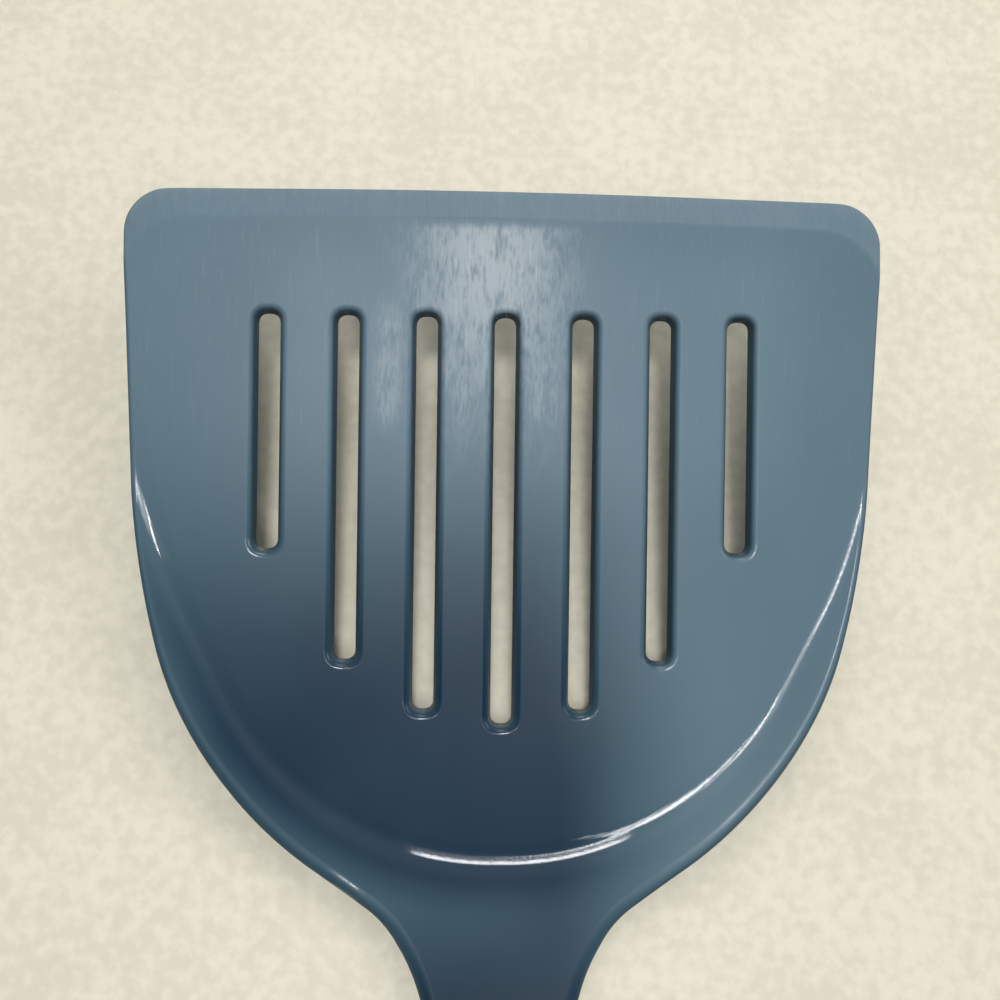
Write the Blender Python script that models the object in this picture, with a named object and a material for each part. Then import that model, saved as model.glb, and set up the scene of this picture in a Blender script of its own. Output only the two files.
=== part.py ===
"""Slotted turner: a moulded nylon head whose tang is pinned inside a two-shell handle.

The head is modelled on the plane of its blade: x runs across, y towards the front edge and z up out
of the dish. The handle is modelled on its own straight axis, and joins the head at the tang. Both
hang on one empty, which is tilted until the tool lies on its heel and on the end of its handle, as
it does on a worktop. Sizes are in metres.
"""

import math

import bmesh
import bpy
import numpy as np
from mathutils import Vector
from mathutils.geometry import delaunay_2d_cdt

for old in list(bpy.data.objects):
    bpy.data.objects.remove(old)

# Fits, and how closely a faceted curve follows the true one
fit_gap = 0.0003
chord_error = 0.00004
longest_step = 0.006

# Blade: a thin flat floor with a ground front edge
blade_half_width = 0.0500
blade_front = 0.0887
crown_drop = 0.0008
crown_radius = 1.5
front_corner_radius = 0.0055
floor_thickness = 0.0022
bevel_width = 0.0039
bevel_depth = 0.0013
bevel_corner_radius = 0.009

# Back of the head: the corners that its outline rounds on the way to the neck, each over a share of
# its shorter side
flank_half_width = 0.958 * blade_half_width
flank_y = 0.4656 * blade_front
flank_share = 0.343
heel_half_width = 0.835 * flank_half_width
heel_y = 0.0107
heel_share = 0.632
shoulder_half_width = 0.0148
shoulder_y = -0.0064
shoulder_share = 0.268
neck_root_half_width = 0.0090
neck_root_y = -0.0149
neck_root_share = 0.625

# Rim: the wall that rises out of the floor behind a curved crease
rim_width_at_flank = 0.0030
crease_flank_half_width = flank_half_width - rim_width_at_flank
crease_flank_y = 0.93 * flank_y
crease_flank_share = 0.138
crease_heel_half_width = 0.637 * heel_half_width
crease_heel_share = 0.965
crease_side_slope = 0.26
crease_fillet_at_heel = 0.009
crease_fillet_at_flank = 0.005
fillet_widest_at = 0.005
fillet_narrowest_at = 0.024
rim_angle = math.radians(25)
rim_thickness = 0.003
heel_fillet = 0.008

# Slots, counted from the middle one outwards; the middle one has no twin
front_strip = 0.0164
slot_pitch = 0.206 * blade_half_width
slot_half_width = 0.0016
slot_front = blade_front - front_strip
slot_backs = (0.0184, 0.0203, 0.0268, 0.0412)
slot_lead_in = 0.001
slot_under_edge = 0.0004

# Neck and tang
neck_half_width = 0.0072
neck_thickness = 0.005
neck_thick_from = 0.012
neck_thick_to = 0.028
neck_bend = 0.057
neck_bend_radius = 0.060
channel_half_width = 0.0042
channel_front = 0.020
channel_web = 0.0024
channel_end_wall = 0.006
tang_half_width = 0.005
tang_length = 0.096
tang_corner_radius = 0.0018

# Rounding of the head's top and bottom edges, from the tang to the front edge
tang_edge = 0.0012
rim_edge = 0.0022
flank_edge = 0.0011
side_edge = 0.0007
front_edge = 0.00025
under_edge = 0.0008
neck_edge_to = -0.040
rim_edge_from = -0.010
rim_edge_to = 0.010
flank_edge_at = 0.034
side_edge_from = 0.054

# Handle: its straight axis and the profile of its outside, as (distance, size, blend radius)
handle_start = 0.074
handle_angle = math.radians(12)
handle_length = 0.176
handle_widths = (
    (0, 0.0096),
    (0.034, 0.0112, 0.25),
    (0.084, 0.0142, 0.4),
    (0.130, 0.0122, 0.3),
    (handle_length, 0.0136),
)
handle_tops = (
    (0, 0.0066),
    (0.034, 0.0080, 0.25),
    (0.084, 0.0096, 0.4),
    (0.140, 0.0064, 0.3),
    (handle_length, 0.0062),
)
handle_unders = (
    (0, 0.0062),
    (0.026, 0.0078, 0.25),
    (0.076, 0.0082, 0.4),
    (0.140, 0.0064, 0.3),
    (handle_length, 0.0062),
)
section_power = 2.6
section_points = 32

# Collar, shells, grip and end cap, placed by their distance along the handle
collar_length = 0.008
collar_wall = 0.0013
cap_length = 0.028
cap_start = handle_length - cap_length
cap_wall = 0.0018
cap_socket_depth = 0.0075
cap_nose = 0.013
bare_length = 0.024
grip_start = 0.030
grip_end = cap_start - bare_length
grip_thickness = 0.0022

# Cored-out pockets in each shell, as (start, end), and the two dowel pins between them
pocket_half_width = 0.006
pocket_wall = 0.002
pocket_to_cap = 0.006
pockets = ((0.014, 0.029), (0.041, 0.062), (0.074, 0.094), (0.104, cap_start - pocket_to_cap))
pin_radius = 0.0015
pin_to_grip_end = 0.005
pin_to_tang_end = 0.028
pin_stations = (grip_start + pin_to_grip_end, tang_length - pin_to_tang_end)

# Hanging eyelet
eyelet_station = handle_length - cap_nose
eyelet_bore = 0.0036
eyelet_wall = 0.0007
eyelet_flange_radius = 0.006
eyelet_flange = 0.0006
eyelet_recess = 0.0004


def rounded_path(corners, error=chord_error):
    """Points along a line that rounds its corners.

    A corner is (x, y), which stays sharp, (x, y, radius), or (x, y, 0, share), which rounds that share
    of its shorter side.
    """
    points = []
    for i, corner in enumerate(corners):
        here = Vector(corner[:2])
        if i in (0, len(corners) - 1) or len(corner) == 2:
            points.append(here)
            continue
        back, ahead = Vector(corners[i - 1][:2]) - here, Vector(corners[i + 1][:2]) - here
        half_angle = back.angle(ahead) / 2
        radius = corner[2] or corner[3] * min(back.length, ahead.length) * math.tan(half_angle)
        back.normalize()
        ahead.normalize()
        centre = here + (back + ahead).normalized() * radius / math.sin(half_angle)
        start = here + back * radius / math.tan(half_angle) - centre
        turn = math.pi - 2 * half_angle
        side = 1 if back.x * ahead.y - back.y * ahead.x < 0 else -1
        steps = max(2, math.ceil(turn / (2 * math.acos(1 - error / radius))))
        for k in range(steps + 1):
            angle = side * turn * k / steps
            cos, sin = math.cos(angle), math.sin(angle)
            points.append(centre + Vector((start.x * cos - start.y * sin, start.x * sin + start.y * cos)))
    return points


def split_long_steps(points, longest=longest_step):
    """The same line with its long steps divided."""
    out = [points[0]]
    for a, b in zip(points[:-1], points[1:]):
        pieces = max(1, math.ceil((b - a).length / longest))
        out += [a.lerp(b, k / pieces) for k in range(1, pieces + 1)]
    return out


def mirrored(half):
    """A line from the middle outwards, and its mirror image, as one line from left to right."""
    left = [Vector((-p.x, p.y)) for p in reversed(half)]
    return left[:-1] + half if abs(half[0].x) < 1e-9 else left + half


def normals_right(points, closed):
    """The unit normal to the right of travel at each point, lengthened at a corner as a mitre is."""
    count = len(points)
    out = []
    for i, p in enumerate(points):
        before = points[i - 1] if closed or i > 0 else None
        after = points[(i + 1) % count] if closed or i < count - 1 else None
        ways = [(p - before).normalized()] if before is not None else []
        ways += [(after - p).normalized()] if after is not None else []
        sides = [Vector((w.y, -w.x)) for w in ways]
        middle = sum(sides, Vector((0, 0))).normalized()
        out.append(middle / max(0.3, middle.dot(sides[0])))
    return out


def offset_line(points, distance, closed=False):
    """The line moved to the right of travel by one distance, or by a list of them."""
    distances = distance if isinstance(distance, list) else [distance] * len(points)
    moved = zip(points, normals_right(points, closed), distances)
    return [p + n * d for p, n, d in moved]


def signed_distance(points, x, y):
    """How far (x, y) lies to the right of travel from a line; negative on its left."""
    line = np.array(points)
    a, step = line[:-1], np.diff(line, axis=0)
    rel = np.array((x, y)) - a
    share = np.clip((rel * step).sum(1) / (step * step).sum(1), 0, 1)
    away = rel - step * share[:, None]
    far = np.hypot(*away.T)
    i = int(far.argmin())
    tied = np.flatnonzero(far < far[i] + 1e-9)
    cross = [step[k, 1] * rel[k, 0] - step[k, 0] * rel[k, 1] for k in tied]
    return math.copysign(float(far[i]), cross[int(np.abs(cross).argmax())])


def read_profile(points, at):
    return float(np.interp(at, [p.x for p in points], [p.y for p in points]))


def crease_half():
    """The crease from the middle of the heel out past the side of the blade."""
    run = blade_front + bevel_width - crease_flank_y
    corners = [
        (0, 0),
        (crease_heel_half_width, 0, 0, crease_heel_share),
        (crease_flank_half_width, crease_flank_y, 0, crease_flank_share),
        (crease_flank_half_width + crease_side_slope * run, crease_flank_y + run),
    ]
    return rounded_path(corners)


def bevel_half():
    """Where the ground front edge begins, from the middle round the corner and down the side."""
    corners = [
        (0, blade_front - bevel_width, crown_radius),
        (blade_half_width, blade_front - crown_drop - bevel_width, bevel_corner_radius),
        (blade_half_width, 0),
    ]
    middle = (-blade_half_width, corners[1][1])
    whole = rounded_path([middle] + corners)
    return [p for p in whole if p.x >= -1e-9]


def tang_y(distance):
    """y on the blade's plane of a point on the handle's axis, so far along it."""
    return -handle_start - distance * math.cos(handle_angle)


def outline_half():
    """The head's outline in plan, from the middle of the front edge to the middle of the tang's end."""
    collar_inside = tang_y(collar_wall)
    corners = [
        (-blade_half_width, blade_front - crown_drop),
        (0, blade_front, crown_radius),
        (blade_half_width, blade_front - crown_drop, front_corner_radius),
        (flank_half_width, flank_y, 0, flank_share),
        (heel_half_width, heel_y, 0, heel_share),
        (shoulder_half_width, shoulder_y, 0, shoulder_share),
        (neck_root_half_width, neck_root_y, 0, neck_root_share),
        (neck_half_width, collar_inside),
        (tang_half_width, collar_inside),
        (tang_half_width, tang_y(tang_length), tang_corner_radius),
        (0, tang_y(tang_length)),
    ]
    half = [p for p in rounded_path(corners) if p.x >= -1e-9]
    half[0].x = 0
    return split_long_steps(half)


def rise(distance):
    """Height of the rim's and the neck's top corners, before they are rounded, beyond the crease."""
    if distance <= neck_bend:
        return distance * math.tan(rim_angle)
    return neck_bend * math.tan(rim_angle) + (distance - neck_bend) * math.tan(handle_angle)


def below(distance, thickness, angle):
    """The point under the top surface at a distance from the crease, square to a slope."""
    along = distance + thickness * math.sin(angle)
    return along, rise(distance) - thickness * math.cos(angle)


far_back = handle_start + handle_length


def top_profile(fillet):
    return rounded_path(
        [
            (-blade_front, 0),
            (0, 0, fillet),
            (neck_bend, rise(neck_bend), neck_bend_radius),
            (far_back, rise(far_back)),
        ]
    )


heel_profile = top_profile(crease_fillet_at_heel)
flank_profile = top_profile(crease_fillet_at_flank)
heel_corner = (rim_thickness / math.cos(rim_angle) - floor_thickness) / math.tan(rim_angle)
bend_angle = (rim_angle + handle_angle) / 2
bend_thickness = neck_thickness / math.cos((rim_angle - handle_angle) / 2)
under_profile = rounded_path(
    [
        (-blade_front, -floor_thickness),
        (heel_corner, -floor_thickness, heel_fillet),
        (*below(neck_thick_from, rim_thickness, rim_angle), 0.04),
        (*below(neck_thick_to, neck_thickness, rim_angle), 0.04),
        (*below(neck_bend, bend_thickness, bend_angle), neck_bend_radius),
        below(far_back, neck_thickness, handle_angle),
    ]
)
# The crease runs from left to right, so that behind it, on its right, distances count upwards.
crease = mirrored(crease_half())
# The bevel's line runs from right to left over the front, which again is on its right.
bevel_line = list(reversed(mirrored(bevel_half())))


def top_height(x, y):
    distance = signed_distance(crease, x, y)
    at_heel, at_flank = read_profile(heel_profile, distance), read_profile(flank_profile, distance)
    flank_part = float(np.interp(y, (fillet_widest_at, fillet_narrowest_at), (0, 1)))
    bevel = max(0.0, signed_distance(bevel_line, x, y))
    return at_heel + flank_part * (at_flank - at_heel) - bevel * bevel_depth / bevel_width


def under_height(x, y):
    return read_profile(under_profile, signed_distance(crease, x, y))


def channel_height(x, y):
    """The roof of the channel under the neck."""
    return top_height(x, y) - channel_web / math.cos(rim_angle)


def edge_radius(y):
    """Rounding of the head's top edge at a place along the tool."""
    corner = blade_front - crown_drop
    stations = (neck_edge_to, rim_edge_from, rim_edge_to, flank_edge_at, side_edge_from, slot_front, corner)
    radii = (tang_edge, rim_edge, rim_edge, flank_edge, side_edge, side_edge, front_edge)
    return float(np.interp(y, stations, radii))


def slot_loop(x, back, front, half_width, points_per_end=9):
    """A closed loop with round ends; every half_width gives the same number of points, in step."""
    loop = []
    for centre_y, first in ((front - slot_half_width, 0), (back + slot_half_width, 180)):
        for k in range(points_per_end):
            angle = math.radians(first + 180 * k / (points_per_end - 1))
            loop.append(Vector((x + half_width * math.cos(angle), centre_y + half_width * math.sin(angle))))
    return loop


def slots():
    """Every slot as (x, back, front)."""
    found = []
    for i, back in enumerate(slot_backs):
        for side in (1, -1) if i else (1,):
            found.append((side * i * slot_pitch, back, slot_front))
    return found


def add_ring(bm, points, height, shift=0.0):
    """New vertices over plan points, at a height that may be shifted by one amount or by a list."""
    shifts = shift if isinstance(shift, list) else [shift] * len(points)
    return [bm.verts.new((p.x, p.y, height(p.x, p.y) + s)) for p, s in zip(points, shifts)]


def bridge(bm, ring_a, ring_b):
    for i in range(len(ring_a)):
        bm.faces.new((ring_a[i - 1], ring_a[i], ring_b[i], ring_b[i - 1]))


def bridge_all(bm, rings):
    for ring_a, ring_b in zip(rings[:-1], rings[1:]):
        bridge(bm, ring_a, ring_b)


def depth_inside(loop, p):
    """How far a point lies inside a closed loop that runs clockwise; negative outside it."""
    return signed_distance(loop + loop[:1], p.x, p.y)


def stretches_where(line, wanted):
    """The stretches of a line whose points are all wanted."""
    runs = [[]]
    for p in line:
        if wanted(p):
            runs[-1].append(p)
        elif runs[-1]:
            runs.append([])
    return [run for run in runs if run]


def add_patch(bm, border, holes, lines, height):
    """Triangles over the plan inside border, outside holes, that keep every feature line as edges."""
    points, edges = [], []
    for loop, closed in [(border, True)] + [(h, True) for h in holes] + [(line, False) for line in lines]:
        first = len(points)
        points += loop
        edges += [(first + k, first + k + 1) for k in range(len(loop) - 1)]
        if closed:
            edges.append((len(points) - 1, first))
    plan, _, triangles, *_ = delaunay_2d_cdt(points, edges, [], 1, 1e-7)
    verts = [bm.verts.new((p.x, p.y, height(p.x, p.y))) for p in plan]
    for triangle in triangles:
        middle = sum((plan[i] for i in triangle), Vector((0, 0))) / 3
        if not any(depth_inside(hole, middle) > 0 for hole in holes):
            bm.faces.new([verts[i] for i in triangle])


def inner_lines(lines, border, hole=None, margin=0.0004):
    """The lines, cut back so that they keep clear of the border and of a hole."""

    def clear(p):
        return depth_inside(border, p) > margin and (hole is None or depth_inside(hole, p) < -margin)

    return [run for line in lines for run in stretches_where(split_long_steps(line), clear)]


def crease_lines(distances):
    """Lines at set distances beyond the crease."""
    return [offset_line(crease, distance) for distance in distances]


def clockwise(loop):
    area = sum(a.x * b.y - b.x * a.y for a, b in zip(loop, loop[1:] + loop[:1]))
    return loop if area < 0 else list(reversed(loop))


def quarter(steps):
    return [math.pi / 2 * k / steps for k in range(steps + 1)]


def finish_mesh(bm, name):
    """Welds the patches to their rings, turns all faces outwards and makes the object."""
    bmesh.ops.remove_doubles(bm, verts=bm.verts, dist=1e-6)
    bmesh.ops.recalc_face_normals(bm, faces=bm.faces)
    mesh = bpy.data.meshes.new(name)
    bm.to_mesh(mesh)
    bm.free()
    mesh.shade_smooth()
    mesh.set_sharp_from_angle(angle=math.radians(30))
    obj = bpy.data.objects.new(name, mesh)
    bpy.context.scene.collection.objects.link(obj)
    return obj


def material(name, colour, roughness, metallic=0.0):
    made = bpy.data.materials.new(name)
    made.use_nodes = True
    shader = made.node_tree.nodes["Principled BSDF"]
    shader.inputs["Base Color"].default_value = (*colour, 1)
    shader.inputs["Roughness"].default_value = roughness
    shader.inputs["Metallic"].default_value = metallic
    return made


def empty(name, parent=None):
    obj = bpy.data.objects.new(name, None)
    bpy.context.scene.collection.objects.link(obj)
    obj.parent = parent
    return obj


def place(obj, parent, look):
    obj.parent = parent
    obj.data.materials.append(look)


def add_head_edge(bm):
    """The rounded edge all round the head; gives the borders left for its top and its underside."""
    half = outline_half()
    outline = clockwise(half + [Vector((-p.x, p.y)) for p in reversed(half[1:-1])])
    radii = [edge_radius(p.y) for p in outline]
    under_radii = [min(under_edge, r) for r in radii]
    rings, insets = [], []
    for angle in quarter(3):
        insets.append(offset_line(outline, [r * (1 - math.sin(angle)) for r in radii], closed=True))
        rings.append(add_ring(bm, insets[-1], top_height, [-r * (1 - math.cos(angle)) for r in radii]))
    for angle in reversed(quarter(2)):
        insets.append(offset_line(outline, [r * (1 - math.sin(angle)) for r in under_radii], closed=True))
        rings.append(add_ring(bm, insets[-1], under_height, [r * (1 - math.cos(angle)) for r in under_radii]))
    bridge_all(bm, rings)
    return insets[0], insets[-1]


def add_slots(bm):
    """The walls and lead-ins of the slots; gives the holes left in the top and in the underside."""
    top_holes, under_holes = [], []
    for x, back, front in slots():
        rings = []
        for angle in quarter(3):
            loop = slot_loop(x, back, front, slot_half_width + slot_lead_in * (1 - math.sin(angle)))
            rings.append(add_ring(bm, loop, top_height, -slot_lead_in * (1 - math.cos(angle))))
        for angle in reversed(quarter(1)):
            loop = slot_loop(x, back, front, slot_half_width + slot_under_edge * (1 - math.sin(angle)))
            rings.append(add_ring(bm, loop, under_height, slot_under_edge * (1 - math.cos(angle))))
        bridge_all(bm, rings)
        top_holes.append(clockwise(slot_loop(x, back, front, slot_half_width + slot_lead_in)))
        under_holes.append(clockwise(slot_loop(x, back, front, slot_half_width + slot_under_edge)))
    return top_holes, under_holes


def add_channel_wall(bm):
    """The wall of the channel under the neck; gives the channel's mouth."""
    back = tang_y(0) + channel_end_wall
    widen = channel_half_width - slot_half_width
    channel = slot_loop(0, back + widen, -channel_front - widen, channel_half_width)
    mouth = split_long_steps(channel + channel[:1])[:-1]
    bridge(bm, add_ring(bm, mouth, under_height), add_ring(bm, mouth, channel_height))
    return clockwise(mouth)


def make_head():
    """Blade, rim, neck and tang: one moulding, with its slots and the channel under its neck."""
    bm = bmesh.new()
    top_border, under_border = add_head_edge(bm)
    top_holes, under_holes = add_slots(bm)
    mouth = add_channel_wall(bm)
    bend_reach = neck_bend_radius * math.tan((rim_angle - handle_angle) / 2)
    bend_lines = [neck_bend - 0.9 * bend_reach, neck_bend, neck_bend + bend_reach]

    reach = crease_fillet_at_heel * math.tan(rim_angle / 2)
    fillet_lines = [share * reach for share in (-1, -0.55, -0.15, 0.25, 0.6, 0.95)]
    rim_lines = [share * neck_bend for share in (0.09, 0.18, 0.27, 0.39, 0.56, 0.74)]
    lines = crease_lines(fillet_lines + rim_lines + bend_lines) + [bevel_line]
    add_patch(bm, top_border, top_holes, inner_lines(lines, top_border), top_height)

    reach = heel_fillet * math.tan(rim_angle / 2)
    fillet_lines = [heel_corner + share * reach for share in (-1, -0.3, 0.3, 0.9)]
    rim_lines = [share * neck_thick_from for share in (1, 1.25, 1.8)]
    rim_lines += [share * neck_thick_to for share in (1, 1.25, 1.6)]
    lines = crease_lines(fillet_lines + rim_lines + bend_lines)
    add_patch(bm, under_border, under_holes + [mouth], inner_lines(lines, under_border, mouth), under_height)

    lines = crease_lines([share * neck_bend for share in (0.5, 0.62, 0.74)] + bend_lines)
    add_patch(bm, mouth, [], inner_lines(lines, mouth), channel_height)
    return finish_mesh(bm, "turner_head")


def handle_sizes(station, inset=0.0):
    """Half width, height above and depth below the handle's axis, drawn in by inset."""
    profiles = (handle_widths, handle_tops, handle_unders)
    sizes = [read_profile(rounded_path(p, 0.00001), station) - inset for p in profiles]
    nose = handle_length - cap_nose
    if station > nose:
        share = min(1.0, (station - nose) / cap_nose)
        sizes[0] *= math.sqrt(1 - share**2)
        sizes[1] *= (1 - share**3.5) ** 0.5
        sizes[2] *= (1 - share**3.5) ** 0.5
    return sizes


def section(station, inset=0.0, half=None, split=0.0):
    """A soft-cornered section of the handle; half is 1 for its upper and -1 for its lower half."""
    width, above, under = handle_sizes(station, inset)
    if half is None:
        angles = [2 * math.pi * k / section_points for k in range(section_points)]
    else:
        steps = section_points // 2
        angles = [half * math.pi * k / steps for k in range(steps + 1)]
    loop = []
    for angle in angles:
        cos, sin = math.cos(angle), math.sin(angle)
        x = width * math.copysign(abs(cos) ** (2 / section_power), cos)
        z = (above if sin > 0 else under) * math.copysign(abs(sin) ** (2 / section_power), sin)
        loop.append(Vector((x, -station, z if half is None else half * max(split, abs(z)))))
    return loop


def stations_between(start, end, longest=0.007):
    count = max(1, math.ceil((end - start) / longest))
    return [start + (end - start) * k / count for k in range(count + 1)]


def add_loft(bm, loops, ends=True):
    """Skins a row of loops that have the same number of points, and closes its ends."""
    rings = [[bm.verts.new(p) for p in loop] for loop in loops]
    bridge_all(bm, rings)
    if ends:
        bm.faces.new(rings[0])
        bm.faces.new(rings[-1])
    return rings


def add_tube(bm, outer, inner):
    """A sleeve between two rows of loops, closed by a ring at each end."""
    outside = add_loft(bm, outer, ends=False)
    inside = add_loft(bm, inner, ends=False)
    bridge(bm, outside[0], inside[0])
    bridge(bm, outside[-1], inside[-1])


def cutter(name, parent):
    """An empty mesh object, seen only as a wire frame, that a Boolean takes away."""
    obj = bpy.data.objects.new(name, bpy.data.meshes.new(name))
    bpy.context.scene.collection.objects.link(obj)
    obj.parent = parent
    obj.hide_render = True
    obj.display_type = "WIRE"
    return obj


def write_mesh(bm, obj):
    bmesh.ops.recalc_face_normals(bm, faces=bm.faces)
    bm.to_mesh(obj.data)
    bm.free()


def cylinder_cutter(name, parent, station, radius, low, high, sides=24):
    """A round cutter square to the handle's axis."""
    obj = cutter(name, parent)
    bm = bmesh.new()
    bmesh.ops.create_cone(bm, cap_ends=True, segments=sides, radius1=radius, radius2=radius, depth=high - low)
    bmesh.ops.translate(bm, verts=bm.verts, vec=(0, -station, (high + low) / 2))
    write_mesh(bm, obj)
    return obj


def loft_cutter(name, parent, loops):
    obj = cutter(name, parent)
    bm = bmesh.new()
    add_loft(bm, loops)
    write_mesh(bm, obj)
    return obj


def box_cutter(name, parent, half_width, start, end, low, high):
    """A box that runs along the handle between two stations."""
    ends = []
    for station in (start, end):
        corners = ((-half_width, low), (half_width, low), (half_width, high), (-half_width, high))
        ends.append([Vector((x, -station, z)) for x, z in corners])
    return loft_cutter(name, parent, ends)


def cut(obj, *cutters):
    for tool in cutters:
        modifier = obj.modifiers.new(tool.name, "BOOLEAN")
        modifier.operation = "DIFFERENCE"
        modifier.solver = "EXACT"
        modifier.object = tool


def neck_section(station, gap):
    """The neck's cross-section at the collar, grown by a gap all round."""
    half_width, half_height = neck_half_width + gap, neck_thickness / 2 + gap
    corner = tang_edge + gap
    shape = [(half_width, half_height, corner), (-half_width, half_height, corner)]
    shape += [(-half_width, -half_height, corner), (half_width, -half_height, corner)]
    start = (half_width, 0)
    loop = rounded_path([start] + shape + [start])[:-1]
    return [Vector((p.x, -station, p.y)) for p in loop]


def make_collar(frame):
    """A steel ferrule over the front of the shells; the neck passes through its face."""
    bm = bmesh.new()
    edge = 0.0004
    stations = [(0, edge), (edge, 0)] + [(s, 0) for s in stations_between(0.002, collar_length)]
    add_loft(bm, [section(s, inset) for s, inset in stations])
    collar = finish_mesh(bm, "neck_collar")
    inner = [section(s, collar_wall) for s in stations_between(collar_wall, collar_length + 0.002)]
    cavity = loft_cutter("collar_cavity", frame, inner)
    # The neck is a little wider at the collar's front than at its inner face.
    window_gap = fit_gap + 0.0001
    ways = [neck_section(s, window_gap) for s in (-0.002, collar_wall + 0.002)]
    cut(collar, cavity, loft_cutter("collar_window", frame, ways))
    return collar


def make_shell(frame, half, name):
    """Half of the handle's hard core: spigots at both ends, a waist under the grip, and cored-out ribs."""
    front = collar_wall + fit_gap
    spigot = collar_wall + fit_gap
    waist = grip_thickness + fit_gap
    rear_spigot = cap_wall + fit_gap
    rear = cap_start + cap_socket_depth
    step = 0.00001
    stretches = (
        (front, collar_length + fit_gap, spigot),
        (collar_length + fit_gap + step, grip_start, 0.0),
        (grip_start + step, grip_end, waist),
        (grip_end + step, cap_start, 0.0),
        (cap_start + step, rear, rear_spigot),
    )
    loops = []
    for start, end, inset in stretches:
        loops += [section(s, inset, half, fit_gap / 2) for s in stations_between(start, end, 0.009)]
    bm = bmesh.new()
    add_loft(bm, loops)
    shell = finish_mesh(bm, name)

    past = -half * 0.001
    low, high = sorted((past, half * (neck_thickness / 2 + fit_gap)))
    way_half_width, way_end = tang_half_width + fit_gap, tang_length + 2 * fit_gap
    cut(shell, box_cutter(name + "_tang_way", frame, way_half_width, -0.002, way_end, low, high))
    for i, (start, end) in enumerate(pockets):
        middle = handle_sizes((start + end) / 2, waist + pocket_wall)[1 if half > 0 else 2]
        low, high = sorted((past, half * middle))
        cut(shell, box_cutter(f"{name}_pocket_{i}", frame, pocket_half_width, start, end, low, high))
    for i, station in enumerate(pin_stations):
        reach = handle_sizes(station)[1 if half > 0 else 2]
        low, high = sorted((past, half * reach))
        way_radius = pin_radius + fit_gap
        cut(shell, cylinder_cutter(f"{name}_pin_way_{i}", frame, station, way_radius, low, high, 16))
    return shell


def make_grip():
    """The soft sleeve round the waist of the two shells."""
    start, end = grip_start + fit_gap, grip_end - fit_gap
    lip = 0.0006
    outer = [section(start, lip)] + [section(s) for s in stations_between(start + lip, end - lip, 0.005)]
    outer.append(section(end, lip))
    inner = [section(s, grip_thickness) for s in stations_between(start, end, 0.009)]
    bm = bmesh.new()
    add_tube(bm, outer, inner)
    return finish_mesh(bm, "soft_grip")


def eyelet_reach():
    """Where the eyelet's two flanges end, above and below the handle's axis."""
    _, above, under = handle_sizes(eyelet_station, eyelet_recess)
    return above, under


def make_cap(frame):
    """The end of the handle: a socket for the shells' rear spigots, and the hanging hole."""
    nose = handle_length - cap_nose
    stations = stations_between(cap_start + fit_gap, nose, 0.006)
    stations += [nose + cap_nose * math.sin(math.pi / 2 * k / 7) for k in range(1, 7)]
    tip = handle_length - 0.00004
    bm = bmesh.new()
    add_loft(bm, [section(s) for s in stations + [tip]])
    cap = finish_mesh(bm, "end_cap")
    socket = [section(s, cap_wall) for s in (cap_start - 0.002, cap_start + cap_socket_depth + fit_gap)]
    above, under = eyelet_reach()
    bed = eyelet_flange + fit_gap
    hole_radius = eyelet_bore + eyelet_wall + fit_gap
    bed_radius = eyelet_flange_radius + fit_gap
    low, high = -2 * under, 2 * above
    cut(
        cap,
        loft_cutter("cap_socket", frame, socket),
        cylinder_cutter("cap_hole", frame, eyelet_station, hole_radius, low, high),
        cylinder_cutter("cap_bed_above", frame, eyelet_station, bed_radius, above - bed, high, 32),
        cylinder_cutter("cap_bed_below", frame, eyelet_station, bed_radius, low, bed - under, 32),
    )
    return cap


def make_eyelet():
    """A steel eyelet, turned from its section: a short tube with a flange at each end."""
    above, under = eyelet_reach()
    tube = eyelet_bore + eyelet_wall
    soft = 0.0002
    profile = (
        (eyelet_bore, -under + soft),
        (eyelet_bore + soft, -under),
        (eyelet_flange_radius, -under),
        (eyelet_flange_radius, -under + eyelet_flange),
        (tube, -under + eyelet_flange),
        (tube, above - eyelet_flange),
        (eyelet_flange_radius, above - eyelet_flange),
        (eyelet_flange_radius, above),
        (eyelet_bore + soft, above),
        (eyelet_bore, above - soft),
    )
    sides = 32
    bm = bmesh.new()
    rings = []
    for k in range(sides):
        angle = 2 * math.pi * k / sides
        spoke = [(r * math.cos(angle), r * math.sin(angle) - eyelet_station, z) for r, z in profile]
        rings.append([bm.verts.new(p) for p in spoke])
    bridge_all(bm, rings + rings[:1])
    return finish_mesh(bm, "hang_eyelet")


def make_pin(name, station):
    """A dowel pin through both shells and the tang."""
    chamfer = 0.0003
    _, above, under = handle_sizes(station, grip_thickness + 2 * fit_gap)
    levels = ((-under, chamfer), (-under + chamfer, 0), (above - chamfer, 0), (above, chamfer))
    loops = []
    for z, inset in levels:
        radius = pin_radius - inset
        angles = [2 * math.pi * k / 16 for k in range(16)]
        loops.append([Vector((radius * math.cos(a), radius * math.sin(a) - station, z)) for a in angles])
    bm = bmesh.new()
    add_loft(bm, loops)
    return finish_mesh(bm, name)


def drill_tang(head, frame):
    """The two holes in the tang that the pins pass through."""
    reach = neck_thickness
    for i, station in enumerate(pin_stations):
        cut(head, cylinder_cutter(f"tang_hole_{i}", frame, station, pin_radius + fit_gap, -reach, reach, 16))


def points_of(obj, frame):
    """An object's points in the frame of the tool."""
    to_tool = frame.matrix_world.inverted() @ obj.matrix_world
    return np.array([to_tool @ v.co for v in obj.data.vertices])


def lowest(points, tilt):
    return float((points[:, 1] * math.sin(tilt) + points[:, 2] * math.cos(tilt)).min())


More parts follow.
